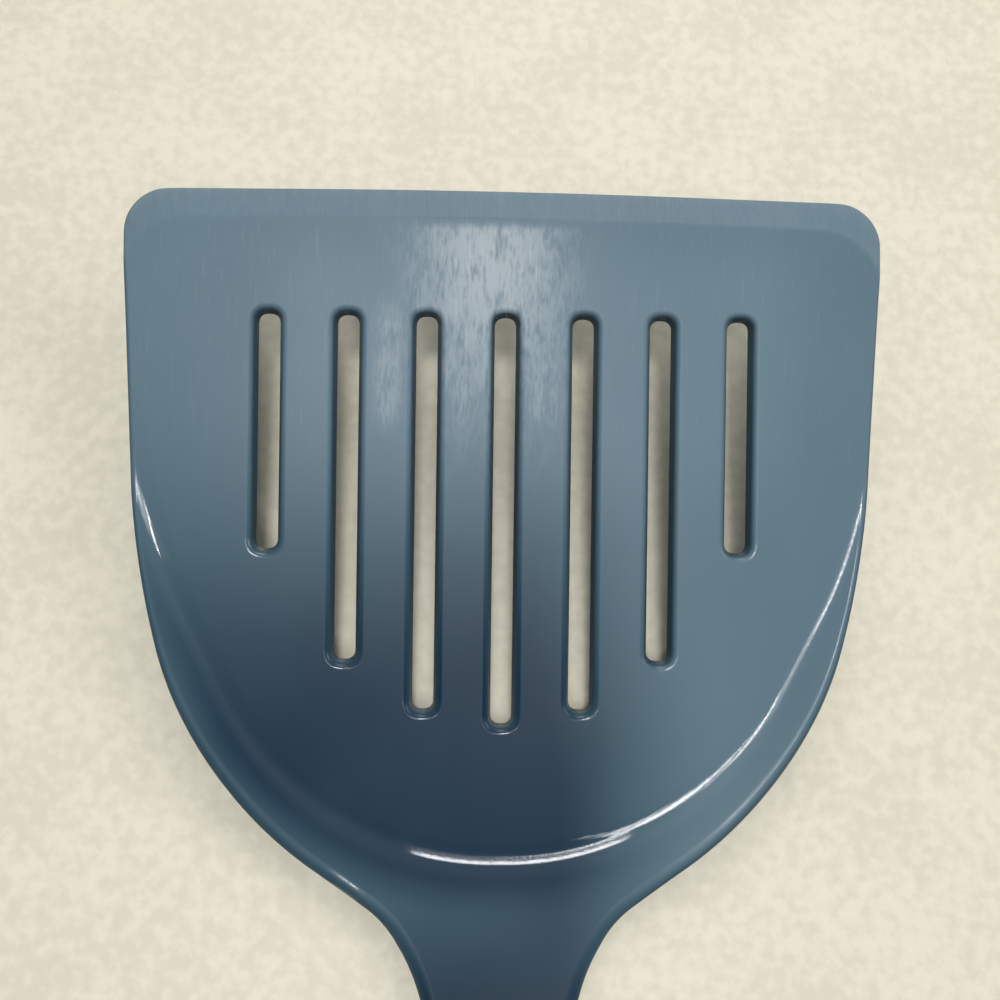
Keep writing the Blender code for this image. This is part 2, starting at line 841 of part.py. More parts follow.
def set_down(tool, head, others):
    """Tilts the tool until its heel and its handle touch the worktop, and centres its plan on the origin."""
    bpy.context.view_layer.update()
    head_points = points_of(head, tool)
    handle_points = np.vstack([points_of(obj, tool) for obj in others])
    low, high = 0.0, math.radians(40)
    for _ in range(50):
        tilt = (low + high) / 2
        if lowest(handle_points, tilt) > lowest(head_points, tilt):
            low = tilt
        else:
            high = tilt
    tool.rotation_euler.x = tilt
    bpy.context.view_layer.update()
    world = np.vstack([[obj.matrix_world @ v.co for v in obj.data.vertices] for obj in [head] + others])
    middle = (world.min(0) + world.max(0)) / 2
    tool.location = (-middle[0], -middle[1], -world.min(0)[2])


nylon = material("slate_blue_nylon", (0.105, 0.150, 0.195), 0.38)
hard_plastic = material("slate_blue_shell", (0.095, 0.138, 0.182), 0.3)
soft_rubber = material("soft_grip_rubber", (0.045, 0.068, 0.092), 0.75)
steel = material("brushed_steel", (0.62, 0.62, 0.60), 0.3, 1.0)

tool = empty("tool_at_rest")
handle = empty("handle_axis", tool)
handle.location = (0, -handle_start, rise(handle_start) - neck_thickness / 2 / math.cos(handle_angle))
handle.rotation_euler.x = -handle_angle

head = make_head()
place(head, tool, nylon)
drill_tang(head, handle)
collar = make_collar(handle)
place(collar, handle, steel)
upper_shell = make_shell(handle, 1, "handle_upper_shell")
place(upper_shell, handle, hard_plastic)
lower_shell = make_shell(handle, -1, "handle_lower_shell")
place(lower_shell, handle, hard_plastic)
grip = make_grip()
place(grip, handle, soft_rubber)
cap = make_cap(handle)
place(cap, handle, hard_plastic)
eyelet = make_eyelet()
place(eyelet, handle, steel)
pins = []
for pin_name, pin_station in zip(("tang_pin_front", "tang_pin_rear"), pin_stations):
    pin = make_pin(pin_name, pin_station)
    place(pin, handle, steel)
    pins.append(pin)

set_down(tool, head, [collar, upper_shell, lower_shell, grip, cap, eyelet] + pins)
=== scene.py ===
"""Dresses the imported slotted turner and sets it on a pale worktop, seen from above its blade.

The head, ferrule, grip, end cap and eyelet are drawn again with finer meshes; the two shells and the
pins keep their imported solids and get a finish. Sizes are in metres, in the frame of the worktop.
"""

from math import acos, ceil, cos, pi, radians, sin, tan

import bpy
import bmesh
import numpy as np
from mathutils import Matrix, Vector
from mathutils.geometry import delaunay_2d_cdt


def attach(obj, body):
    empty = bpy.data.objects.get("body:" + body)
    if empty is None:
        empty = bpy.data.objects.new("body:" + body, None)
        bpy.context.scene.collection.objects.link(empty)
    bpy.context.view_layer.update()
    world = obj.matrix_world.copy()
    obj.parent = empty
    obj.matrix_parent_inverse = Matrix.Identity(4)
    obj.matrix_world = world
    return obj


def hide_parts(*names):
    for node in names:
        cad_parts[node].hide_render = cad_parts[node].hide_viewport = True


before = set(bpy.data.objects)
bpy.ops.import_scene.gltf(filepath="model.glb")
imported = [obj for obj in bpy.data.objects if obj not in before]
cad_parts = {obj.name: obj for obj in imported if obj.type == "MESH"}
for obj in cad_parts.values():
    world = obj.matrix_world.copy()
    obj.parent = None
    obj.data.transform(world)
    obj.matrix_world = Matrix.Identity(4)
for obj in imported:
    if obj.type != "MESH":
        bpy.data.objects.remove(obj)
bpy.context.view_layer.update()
scene = bpy.context.scene
scene.view_settings.view_transform = "Standard"


# Worktop: a sheet of pale, warm laminate with a faint cloudy print and a soft eggshell surface.
# It is only the stage that the tool lies on.
def fill(target, inputs):
    """Gives a node's sockets, by name or place, their values, or links them to outputs."""
    for key, value in inputs.items():
        if isinstance(value, bpy.types.NodeSocket):
            target.id_data.links.new(value, target.inputs[key])
        else:
            target.inputs[key].default_value = value


def node(tree, kind, inputs={}, **settings):
    """Adds a node to a tree, or to the tree that an output belongs to."""
    made = tree.id_data.nodes.new(kind)
    for name, value in settings.items():
        setattr(made, name, value)
    fill(made, inputs)
    return made


def calc(operation, a, b=0.0, clamp=False):
    output = a if isinstance(a, bpy.types.NodeSocket) else b
    return node(output, "ShaderNodeMath", {0: a, 1: b}, operation=operation, use_clamp=clamp).outputs[0]


def times(first, *others):
    for other in others:
        first = calc("MULTIPLY", first, other)
    return first


def plus(first, *others):
    for other in others:
        first = calc("ADD", first, other)
    return first


def ramp(value, low, high, to_low=0.0, to_high=1.0):
    """A value moved smoothly from one range to another, and held at its ends."""
    sizes = {"Value": value, "From Min": low, "From Max": high, "To Min": to_low, "To Max": to_high}
    return node(value, "ShaderNodeMapRange", sizes, interpolation_type="SMOOTHSTEP").outputs[0]


def noise(where, scale, detail=2.0):
    sizes = {"Vector": where, "Scale": scale, "Detail": detail}
    return node(where, "ShaderNodeTexNoise", sizes).outputs["Fac"]


def blend_colour(share, first, second):
    """A colour between two: each is three numbers or an output."""
    colours = [c if isinstance(c, bpy.types.NodeSocket) else (*c, 1) for c in (first, second)]
    sizes = {0: share, 6: colours[0], 7: colours[1]}
    return node(share, "ShaderNodeMix", sizes, data_type="RGBA").outputs[2]


def plain_mesh(name, points, faces=()):
    mesh = bpy.data.meshes.new(name)
    mesh.from_pydata([tuple(point) for point in points], [], faces)
    return mesh


def add_object(name, data):
    obj = bpy.data.objects.new(name, data)
    scene.collection.objects.link(obj)
    return obj


def clouded(pattern, low, high, shades):
    """A colour that goes from one shade to another with a pattern."""
    return blend_colour(ramp(pattern, low, high), *shades)


def new_material(name):
    """A material, its tree, its shader and the place of the point on the piece."""
    made = bpy.data.materials.new(name)
    made.use_nodes = True
    tree = made.node_tree
    where = node(tree, "ShaderNodeTexCoord").outputs["Object"]
    return made, tree, tree.nodes["Principled BSDF"], where


laminate, tree, shader, where = new_material("worktop_laminate")
cloud = plus(times(noise(where, 520), 0.6), times(noise(where, 60, 3), 0.4))
print_shades = (0.580, 0.543, 0.431), (0.655, 0.615, 0.493)
fill(shader, {"Base Color": clouded(cloud, 0.38, 0.62, print_shades), "Roughness": 0.55})
backdrop_colour = (0.86, 0.85, 0.81, 1)
far_floor_start, far_floor_end = 0.30, 0.95
away = node(tree, "ShaderNodeVectorMath", {0: where}, operation="LENGTH").outputs["Value"]
seen = node(tree, "ShaderNodeLightPath").outputs["Is Camera Ray"]
fade = times(ramp(away, far_floor_start, far_floor_end), seen)
distance_haze = node(tree, "ShaderNodeEmission", {"Color": backdrop_colour, "Strength": 1.0})
surface = node(tree, "ShaderNodeMixShader", {0: fade, 1: shader.outputs[0], 2: distance_haze.outputs[0]})
tree.links.new(surface.outputs[0], tree.nodes["Material Output"].inputs["Surface"])
worktop_half = 1.6
worktop_corners = [(x * worktop_half, y * worktop_half, 0) for x, y in ((-1, -1), (1, -1), (1, 1), (-1, 1))]
worktop = add_object("worktop", plain_mesh("worktop", worktop_corners, [(0, 1, 2, 3)]))
worktop.data.materials.append(laminate)


# Light and camera: a pale room that is darker over the handle's end of the tool. A key lamp over
# the front of the blade and five small ones draw the bright lines in the crease and on the slot ends,
# and two softboxes light the rim. The camera looks straight down on the blade from 15 cm.
blade_tilt = radians(13.857148)
blade_plane = Matrix.Translation((0, 0.0839877, 0.0025031)) @ Matrix.Rotation(blade_tilt, 4, "X")


def minus(a, b):
    return calc("SUBTRACT", a, b)


def band(value, middle, low, high, full=1.0):
    """A share that is full near the middle of a band, and fades from low to high away from it."""
    return ramp(calc("ABSOLUTE", minus(value, middle)), low, high, full, 0.0)


world = bpy.data.worlds.new("room")
scene.world = world
world.use_nodes = True
tree = world.node_tree
direction = node(tree, "ShaderNodeTexCoord").outputs["Generated"]
to_right, to_front, to_ceiling = node(tree, "ShaderNodeSeparateXYZ", {0: direction}).outputs
dark_across = band(to_right, -0.10, 0.15, 0.55)
dark_end = times(dark_across, ramp(to_front, -0.36, -0.02, 1.0, 0.0))
open_side = ramp(to_front, -0.25, 0.55, 0.75, 1.05)
height = ramp(to_ceiling, 0.05, 0.95, 0.12, 0.38)
strength = times(open_side, height, minus(1.0, times(dark_end, 0.88)))
seen = node(tree, "ShaderNodeLightPath").outputs["Is Camera Ray"]
room_light = node(tree, "ShaderNodeBackground", {"Color": (0.97, 1.0, 1.02, 1), "Strength": strength})
backdrop = node(tree, "ShaderNodeBackground", {"Color": backdrop_colour, "Strength": 1.0})
both = node(tree, "ShaderNodeMixShader", {0: seen, 1: room_light.outputs[0], 2: backdrop.outputs[0]})
tree.links.new(both.outputs[0], tree.nodes["World Output"].inputs["Surface"])


blade_middle, lamp_distance = 0.04, 1.2


def add_lamp(name, towards, size, power, distance=lamp_distance):
    """A round lamp that looks at the middle of the blade, from a direction on the blade's own plane."""
    lamp = bpy.data.lights.new(name, "AREA")
    lamp.shape = "DISK"
    lamp.size = size
    lamp.energy = power
    target = blade_plane @ Vector((0, blade_middle, 0))
    way = (blade_plane.to_3x3() @ Vector(towards)).normalized()
    turn = way.to_track_quat("Z", "Y").to_matrix().to_4x4()
    add_object(name, lamp).matrix_world = Matrix.Translation(target + way * distance) @ turn


add_lamp("key_lamp", (-0.03, 0.19, 1.0), 0.20, 6.4)
add_lamp("heel_lamp", (0.05, -0.01, 1.0), 0.105, 1.15)
add_lamp("right_lamp", (0.12, -0.165, 1.0), 0.09, 1.1)
add_lamp("tail_lamp", (0.135, -0.275, 1.0), 0.08, 0.5)
add_lamp("left_lamp", (-0.16, 0.0, 0.98), 0.05, 1.0)
add_lamp("front_lamp", (-0.22, 0.52, 0.83), 0.07, 0.4)
add_lamp("front_softbox", (0.05, 0.87, 0.50), 0.36, 1.1, 0.60)
add_lamp("side_softbox", (0.75, 0.30, 0.60), 0.36, 0.9, 0.70)

camera_data = bpy.data.cameras.new("camera")
camera_data.lens = 41.39
camera_data.sensor_width = 36
camera_data.clip_start = 0.01
camera = add_object("camera", camera_data)
scene.camera = camera
camera_aim = Vector((-0.000518, 0.04789, 0))
camera_yaw, camera_roll, camera_distance = radians(2.36), radians(0.743), 0.150
look = Vector((sin(camera_yaw), 0, -cos(camera_yaw)))
up = (Vector((0, 1, 0)) - look * look.y).normalized()
axes = Matrix((up.cross(-look), up, -look)).transposed() @ Matrix.Rotation(camera_roll, 3, "Z")
camera.matrix_world = blade_plane @ Matrix.Translation(camera_aim - look * camera_distance) @ axes.to_4x4()


# Head: one moulding in slate-blue nylon, from the ground front edge through the dished blade and its
# raised rim to the tang inside the handle. It is injection moulded, and worn to a satin by use.
# Its lines are drawn on the plane of the blade: x across, y to the front edge, z up out of the dish.
blade_half_width = 0.0500
blade_front = 0.0887
crown_drop = 0.0008
bevel_width = 0.0039
bevel_depth = 0.0013
floor_thickness = 0.0022
flank_half_width = 0.958 * blade_half_width
flank_y = 0.4656 * blade_front
heel_half_width = 0.835 * flank_half_width
rim_angle = radians(25)
handle_angle = radians(12)
handle_start = 0.074
neck_bend = 0.057
neck_bend_radius = 0.060
neck_thickness = 0.005
rim_thickness = 0.003
tang_half_width = 0.005
tang_length = 0.096
collar_wall = 0.0013
pin_stations = (0.035, 0.068)
pin_way_radius = 0.0018


def rounded_line(corners, error):
    """Points along a line that rounds its corners: (x, y), (x, y, radius) or (x, y, 0, share of side)."""
    points = []
    for i, corner in enumerate(corners):
        here = np.array(corner[:2], float)
        if i in (0, len(corners) - 1) or len(corner) == 2:
            points.append(here)
            continue
        back, ahead = np.array(corners[i - 1][:2]) - here, np.array(corners[i + 1][:2]) - here
        back_length, ahead_length = np.hypot(*back), np.hypot(*ahead)
        back, ahead = back / back_length, ahead / ahead_length
        half_angle = acos(back @ ahead) / 2
        radius = corner[2] or corner[3] * min(back_length, ahead_length) * tan(half_angle)
        centre = here + (back + ahead) / np.hypot(*(back + ahead)) * radius / sin(half_angle)
        start = here + back * radius / tan(half_angle) - centre
        turn = pi - 2 * half_angle
        side = 1 if back[0] * ahead[1] - back[1] * ahead[0] < 0 else -1
        steps = max(2, ceil(turn / (2 * acos(1 - error / radius))))
        for k in range(steps + 1):
            angle = side * turn * k / steps
            x = start[0] * cos(angle) - start[1] * sin(angle)
            points.append(centre + (x, start[0] * sin(angle) + start[1] * cos(angle)))
    return np.array(points)


def split_steps(line, longest):
    """The same line with its long steps divided."""
    out = [line[0]]
    for a, b in zip(line[:-1], line[1:]):
        pieces = max(1, ceil(np.hypot(*(b - a)) / longest))
        out += [a + (b - a) * k / pieces for k in range(1, pieces + 1)]
    return np.array(out)


def closed_loop(loop):
    return np.vstack([loop, loop[:1]])


def unit(ways):
    return ways / np.linalg.norm(ways, axis=1)[:, None]


least_mitre = 0.3


def sides_right(line, closed=False):
    """The unit normal to the right of travel at each point, lengthened at a corner as a mitre is."""
    ways = unit(np.diff(closed_loop(line) if closed else line, axis=0))
    before = np.roll(ways, 1, axis=0) if closed else np.vstack([ways[:1], ways])
    after = ways if closed else np.vstack([ways, ways[-1:]])
    middle = unit(before + after)
    stretch = 1 / np.maximum(least_mitre, (middle * before).sum(1))
    return np.stack([middle[:, 1], -middle[:, 0]], 1) * stretch[:, None]


points_at_once = 1500


def distance_from(line, points):
    """How far plan points lie to the right of travel from a line; negative on its left."""
    start, step = line[:-1], np.diff(line, axis=0)
    out = []
    for chunk in np.array_split(points, len(points) // points_at_once + 1):
        rel = chunk[:, None] - start
        share = np.clip((rel * step).sum(2) / (step * step).sum(1), 0, 1)
        away = rel - share[..., None] * step
        gap = np.hypot(away[..., 0], away[..., 1])
        cross = step[:, 1] * rel[..., 0] - step[:, 0] * rel[..., 1]
        tied = gap < gap.min(1, keepdims=True) + 1e-10
        widest = np.where(tied, np.abs(cross), -1).argmax(1)[:, None]
        out.append(np.copysign(gap.min(1), np.take_along_axis(cross, widest, 1)[:, 0]))
    return np.concatenate(out)


def mirrored(half):
    """A line from the middle outwards, and its mirror image, as one line from left to right."""
    left = half[::-1] * (-1, 1)
    return np.vstack([left[:-1] if abs(half[0][0]) < 1e-9 else left, half])


crease_inset, crease_splay = 0.003, 0.26
crease_heel_share, crease_flank_share = 0.637, 0.93
crease_heel_rounding, crease_flank_rounding = 0.965, 0.138


def crease_line(error):
    """The line along which the floor of the dish turns up into the rim, from left to right."""
    flank_x, corner_y = flank_half_width - crease_inset, crease_flank_share * flank_y
    run = blade_front + bevel_width - corner_y
    corners = [
        (0, 0),
        (crease_heel_share * heel_half_width, 0, 0, crease_heel_rounding),
        (flank_x, corner_y, 0, crease_flank_rounding),
        (flank_x + crease_splay * run, corner_y + run),
    ]
    return mirrored(rounded_line(corners, error))


crown_radius = 1.5
bevel_corner_radius, front_corner_radius = 0.009, 0.0055


def bevel_half_line(error):
    """The right half of the line where the bevel of the front edge begins."""
    corner_y = blade_front - crown_drop - bevel_width
    corners = [(-blade_half_width, corner_y), (0, blade_front - bevel_width, crown_radius)]
    corners += [(blade_half_width, corner_y, bevel_corner_radius), (blade_half_width, 0)]
    line = rounded_line(corners, error)
    return line[line[:, 0] >= -1e-9]


def tang_y(station):
    return -handle_start - station * cos(handle_angle)


edge_step, mesh_error = 0.0012, 4e-6
neck_half_width, tang_corner = 0.0072, 0.0018


def outline_half():
    """The outline in plan, from the middle of the front edge to the middle of the tang's end."""
    inside_collar = tang_y(collar_wall)
    corners = [
        (-blade_half_width, blade_front - crown_drop),
        (0, blade_front, crown_radius),
        (blade_half_width, blade_front - crown_drop, front_corner_radius),
        (flank_half_width, flank_y, 0, 0.343),
        (heel_half_width, 0.0107, 0, 0.632),
        (0.0148, -0.0064, 0, 0.268),
        (0.0090, -0.0149, 0, 0.625),
        (neck_half_width, inside_collar),
        (tang_half_width, inside_collar),
        (tang_half_width, tang_y(tang_length), tang_corner),
        (0, tang_y(tang_length)),
    ]
    half = rounded_line(corners, mesh_error)
    half = half[half[:, 0] >= -1e-9]
    half[0][0] = 0
    line = split_steps(half, edge_step)
    # The shoulder inside the collar stays one step, or its rounded edge would fold over itself.
    past_tang, short_of_neck = line[:, 0] > tang_half_width + 0.0001, line[:, 0] < neck_half_width - 0.0001
    return line[~(past_tang & short_of_neck & (np.abs(line[:, 1] - inside_collar) < 1e-9))]


def rise(distance):
    """Height of the top corners of rim and neck beyond the crease, before they are rounded."""
    bend_rise = neck_bend * tan(rim_angle)
    if distance <= neck_bend:
        return distance * tan(rim_angle)
    return bend_rise + (distance - neck_bend) * tan(handle_angle)


def below(distance, thickness, angle):
    """The corner under the top line that gives the wall its thickness."""
    return distance + thickness * sin(angle), rise(distance) - thickness * cos(angle)


far_back = 0.25
profile_error, line_error = 2e-8, 2e-7
heel_fillet, flank_fillet, under_fillet_radius, rib_fillet = 0.009, 0.005, 0.008, 0.04


def top_profile(fillet):
    corners = [(-blade_front, 0), (0, 0, fillet), (neck_bend, rise(neck_bend), neck_bend_radius)]
    return rounded_line(corners + [(far_back, rise(far_back))], profile_error)


heel_profile, flank_profile = top_profile(heel_fillet), top_profile(flank_fillet)
heel_corner = (rim_thickness / cos(rim_angle) - floor_thickness) / tan(rim_angle)
bend_thickness = neck_thickness / cos((rim_angle - handle_angle) / 2)
under_corners = [
    (-blade_front, -floor_thickness),
    (heel_corner, -floor_thickness, under_fillet_radius),
    (*below(0.012, rim_thickness, rim_angle), rib_fillet),
    (*below(0.028, neck_thickness, rim_angle), rib_fillet),
    (*below(neck_bend, bend_thickness, (rim_angle + handle_angle) / 2), neck_bend_radius),
    below(far_back, neck_thickness, handle_angle),
]
under_profile = rounded_line(under_corners, profile_error)
fine_crease = crease_line(line_error)
fine_bevel = mirrored(bevel_half_line(line_error))[::-1]
bevel_softness = 0.00025


def top_height(plan):
    distance = distance_from(fine_crease, plan)
    at_heel, at_flank = np.interp(distance, *heel_profile.T), np.interp(distance, *flank_profile.T)
    flank_part = np.interp(plan[:, 1], (0.005, 0.024), (0, 1))
    past = distance_from(fine_bevel, plan)
    eased = (past + bevel_softness) ** 2 / (4 * bevel_softness)
    bevel = np.where(past > bevel_softness, past, np.where(past > -bevel_softness, eased, 0))
    return at_heel + flank_part * (at_flank - at_heel) - bevel * bevel_depth / bevel_width


def under_height(plan):
    return np.interp(distance_from(fine_crease, plan), *under_profile.T)


channel_roof_thickness = 0.0024


def channel_height(plan):
    return top_height(plan) - channel_roof_thickness / cos(rim_angle)


def facing(height, plan, side):
    """The surface's normal at plan points, not yet of unit length; side is 1 for up and -1 for down."""
    reach = 0.00003
    slopes = [(height(plan + step) - height(plan - step)) / (2 * reach) for step in np.eye(2) * reach]
    return side * np.stack([-slopes[0], -slopes[1], np.ones(len(plan))], 1)


spots, facings, faces, known = [], [], [], {}


def add_points(points, ways):
    """Adds vertices, or finds those already there, and gives their numbers."""
    numbers = []
    for point, way in zip(points, ways):
        key = (round(point[0], 8), round(point[1], 8), round(point[2], 7))
        if key not in known:
            known[key] = len(spots)
            spots.append(point)
            facings.append(way)
        numbers.append(known[key])
    return numbers


def add_on(plan, level, ways):
    """Adds vertices over plan points at a level, and gives their numbers."""
    return add_points(np.column_stack([plan, level]), ways)


def bridge(ring_a, ring_b):
    for i in range(len(ring_a)):
        quad = [ring_a[i - 1], ring_a[i], ring_b[i], ring_b[i - 1]]
        if len(set(quad)) > 2:
            faces.append(list(dict.fromkeys(quad)))


def edge_rings(line, outward, radii, height, side, steps):
    """Rings over the rounded edge of one surface, from the surface to the wall."""
    rings, border = [], None
    for angle in np.linspace(0, pi / 2, steps + 1):
        plan = line - outward * (radii * (1 - sin(angle)))[:, None]
        border = plan if border is None else border
        drop = -side * radii * (1 - cos(angle))
        ways = cos(angle) * facing(height, plan, side)
        ways[:, :2] += sin(angle) * outward
        rings.append(add_on(plan, height(plan) + drop, ways))
    for ring_a, ring_b in zip(rings[:-1], rings[1:]):
        bridge(ring_a, ring_b)
    return rings[-1], border


def clear_stretches(lines, border, holes, margin=0.0002):
    """The lines, cut back so that they keep clear of the border and of the holes."""
    out = []
    for line in lines:
        keep = distance_from(closed_loop(border), line) > margin
        for hole in holes:
            keep &= distance_from(closed_loop(hole), line) < -margin
        ends = np.flatnonzero(np.diff(np.concatenate([[False], keep, [False]]).astype(int)))
        out += [line[a:b] for a, b in zip(ends[::2], ends[1::2]) if b - a > 1]
    return out


def add_patch(border, holes, lines, height, side):
    """Triangles over the plan inside border, outside holes, that keep every feature line as edges."""
    lines = clear_stretches(lines, border, holes)
    points, edges = [], []
    loops = [(border, True)] + [(hole, True) for hole in holes] + [(line, False) for line in lines]
    for loop, closed in loops:
        first = len(points)
        points += list(loop)
        edges += [(first + k, first + k + 1) for k in range(len(loop) - 1)]
        if closed:
            edges.append((len(points) - 1, first))
    made = delaunay_2d_cdt([Vector(p) for p in points], edges, [], 1, 1e-8)
    found, triangles, sources = made[0], made[2], made[3]
    plan = np.array([points[source[0]] if source else p for p, source in zip(found, sources)])
    numbers = add_on(plan, height(plan), facing(height, plan, side))
    middles = plan[np.array(triangles)].mean(1)
    inside = np.zeros(len(middles), bool)
    for hole in holes:
        inside |= distance_from(closed_loop(hole), middles) > 0
    for triangle, hidden in zip(triangles, inside):
        if not hidden:
            faces.append([numbers[i] for i in triangle])


def clockwise(loop):
    area = (loop[:, 0] * np.roll(loop[:, 1], -1) - loop[:, 1] * np.roll(loop[:, 0], -1)).sum()
    return loop if area < 0 else loop[::-1]


def crease_offsets(distances, step=0.0011):
    line = split_steps(crease_line(mesh_error), step)
    ways = sides_right(line)
    return [line + ways * distance for distance in distances]


# The outer edge of the head, rounded above and below.
outline = outline_half()
outline = clockwise(np.vstack([outline, outline[-2:0:-1] * (-1, 1)]))
outward = -sides_right(outline, closed=True)
edge_stations = (-0.040, -0.010, 0.010, 0.034, 0.054, 0.0723, blade_front - crown_drop)
edge_sizes = (0.0012, 0.0022, 0.0022, 0.0011, 0.0007, 0.0007, 0.00025)
edge_radii = np.interp(outline[:, 1], edge_stations, edge_sizes)
top_rim, top_border = edge_rings(outline, outward, edge_radii, top_height, 1, 7)
under_radii = np.minimum(edge_radii, 0.0008)
under_rim, under_border = edge_rings(outline, outward, under_radii, under_height, -1, 4)
bridge(top_rim, under_rim)

# The slots: seven equal cut-outs that differ only in length. Geometry Nodes draw one wall, with its
# rounded lead-in above and its soft edge below, and set it at each slot's rear end.
slot_pitch = 0.206 * blade_half_width
slot_half_width, slot_draft, slot_front = 0.0014, 0.0003, blade_front - 0.0168
slot_backs = (0.0184, 0.0203, 0.0268, 0.0412)
slot_lead_in, slot_under_edge = 0.0009, 0.0003
slot_sizes = {"Half Width": slot_half_width, "Draft": slot_draft, "Front": slot_front}
slot_sizes |= {"Lead In": slot_lead_in, "Under Edge": slot_under_edge, "Thickness": floor_thickness}


def new_tree(name, sizes):
    """A Geometry Nodes tree with its sockets, the values it is given and its output node."""
    tree = bpy.data.node_groups.new(name, "GeometryNodeTree")
    tree.interface.new_socket("Geometry", in_out="INPUT", socket_type="NodeSocketGeometry")
    for size in sizes:
        tree.interface.new_socket(size, in_out="INPUT", socket_type="NodeSocketFloat")
    tree.interface.new_socket("Material", in_out="INPUT", socket_type="NodeSocketMaterial")
    tree.interface.new_socket("Geometry", in_out="OUTPUT", socket_type="NodeSocketGeometry")
    return tree, node(tree, "NodeGroupInput").outputs, node(tree, "NodeGroupOutput")


def result_of(obj):
    """The plain mesh that an object's modifiers give; the object itself is removed."""
    mesh = bpy.data.meshes.new_from_object(obj.evaluated_get(bpy.context.evaluated_depsgraph_get()))
    bpy.data.objects.remove(obj)
    return mesh


def evaluate(start, tree, sizes, look):
    """Runs a tree on a mesh, and gives the plain mesh that results."""
    obj = add_object(start.name, start)
    modifier = obj.modifiers.new(tree.name, "NODES")
    modifier.node_group = tree
    values = {**sizes, "Material": look}
    for item in tree.interface.items_tree:
        if item.in_out == "INPUT" and item.name in values:
            modifier[item.identifier] = values[item.name]
    return result_of(obj)


tree, given, result = new_tree("slot_walls", slot_sizes)
slot_tree = tree
sides, top_steps, under_steps = 48, 8, 3
segments = top_steps + 1 + under_steps
index = node(tree, "GeometryNodeInputIndex").outputs[0]
place = node(tree, "GeometryNodeInputPosition").outputs[0]
_, place_y, place_z = node(tree, "ShaderNodeSeparateXYZ", {0: place}).outputs
along = calc("MODULO", index, sides)
front_half = calc("LESS_THAN", along, sides / 2 - 0.5)
rear_half = minus(1.0, front_half)
step_round = minus(along, times(rear_half, sides / 2))
half_turns = plus(calc("DIVIDE", step_round, sides / 2 - 1), rear_half)
angle = times(half_turns, pi)
level = plus(place_z, 0.5)
above = calc("GREATER_THAN", level, (under_steps + 0.5) / segments)
top_angle = times(calc("DIVIDE", minus(1.0, level), top_steps / segments, clamp=True), pi / 2)
under_angle = times(calc("DIVIDE", level, under_steps / segments, clamp=True), pi / 2)


def wall_line(angle, size, base, side):
    """How far the wall stands back from the slot, and its height, over one rounded edge."""
    back = times(size, minus(1.0, calc("SINE", angle)))
    drop = times(size, minus(1.0, calc("COSINE", angle)))
    return back, plus(base, times(drop, -side))


under_floor = times(given["Thickness"], -1.0)
top_back, top_level = wall_line(top_angle, given["Lead In"], 0.0, 1)
under_back, under_level = wall_line(under_angle, given["Under Edge"], under_floor, -1)


def by_level(over, under):
    return plus(under, times(above, minus(over, under)))


radius = plus(given["Half Width"], by_level(plus(given["Draft"], top_back), under_back))
end_fullness = 0.8


def fuller(value):
    """A sine or cosine whose circle is drawn a little towards a square."""
    grown = calc("POWER", calc("ABSOLUTE", value), end_fullness)
    return times(calc("SIGN", value), grown)


def keep_number(geometry, name, value):
    """The geometry, with a number kept at each point under a name."""
    sizes = {"Geometry": geometry, "Name": name, "Value": value}
    kept = node(geometry, "GeometryNodeStoreNamedAttribute", sizes, data_type="FLOAT", domain="POINT")
    return kept.outputs[0]


def kept_number(tree, name):
    return node(tree, "GeometryNodeInputNamedAttribute", {"Name": name}, data_type="FLOAT").outputs[0]


def in_material(geometry, look):
    return node(geometry, "GeometryNodeSetMaterial", {"Geometry": geometry, "Material": look}).outputs[0]


wall_place = node(tree, "ShaderNodeCombineXYZ", {
    0: times(radius, fuller(calc("COSINE", angle))),
    1: times(radius, fuller(calc("SINE", angle))),
    2: by_level(top_level, under_level),
}).outputs[0]
tube_sizes = {"Vertices": sides, "Side Segments": segments, "Radius": 1.0, "Depth": 1.0}
tube = node(tree, "GeometryNodeMeshCylinder", tube_sizes, fill_type="NONE").outputs["Mesh"]
marked = keep_number(tube, "front_half", front_half)
one_wall = node(tree, "GeometryNodeSetPosition", {"Geometry": marked, "Position": wall_place})
reach = minus(minus(given["Front"], given["Half Width"]), place_y)
starts = keep_number(given["Geometry"], "reach", reach)
walls = node(tree, "GeometryNodeInstanceOnPoints", {"Points": starts, "Instance": one_wall.outputs[0]})
plain = node(tree, "GeometryNodeRealizeInstances", {0: walls.outputs[0]}).outputs[0]
shift = times(kept_number(tree, "front_half"), kept_number(tree, "reach"))
forwards = node(tree, "ShaderNodeCombineXYZ", {1: shift}).outputs[0]
stretched = node(tree, "GeometryNodeSetPosition", {"Geometry": plain, "Offset": forwards}).outputs[0]
tree.links.new(in_material(stretched, given["Material"]), result.inputs[0])

nylon, tree, shader, where = new_material("slate_blue_nylon")
slot_ends = []
for i, back in enumerate(slot_backs):
    for side in (1, -1) if i else (1,):
        slot_ends.append((side * i * slot_pitch, back + slot_half_width, 0.0))
wall_mesh = evaluate(plain_mesh("slot_starts", slot_ends), slot_tree, slot_sizes, nylon)

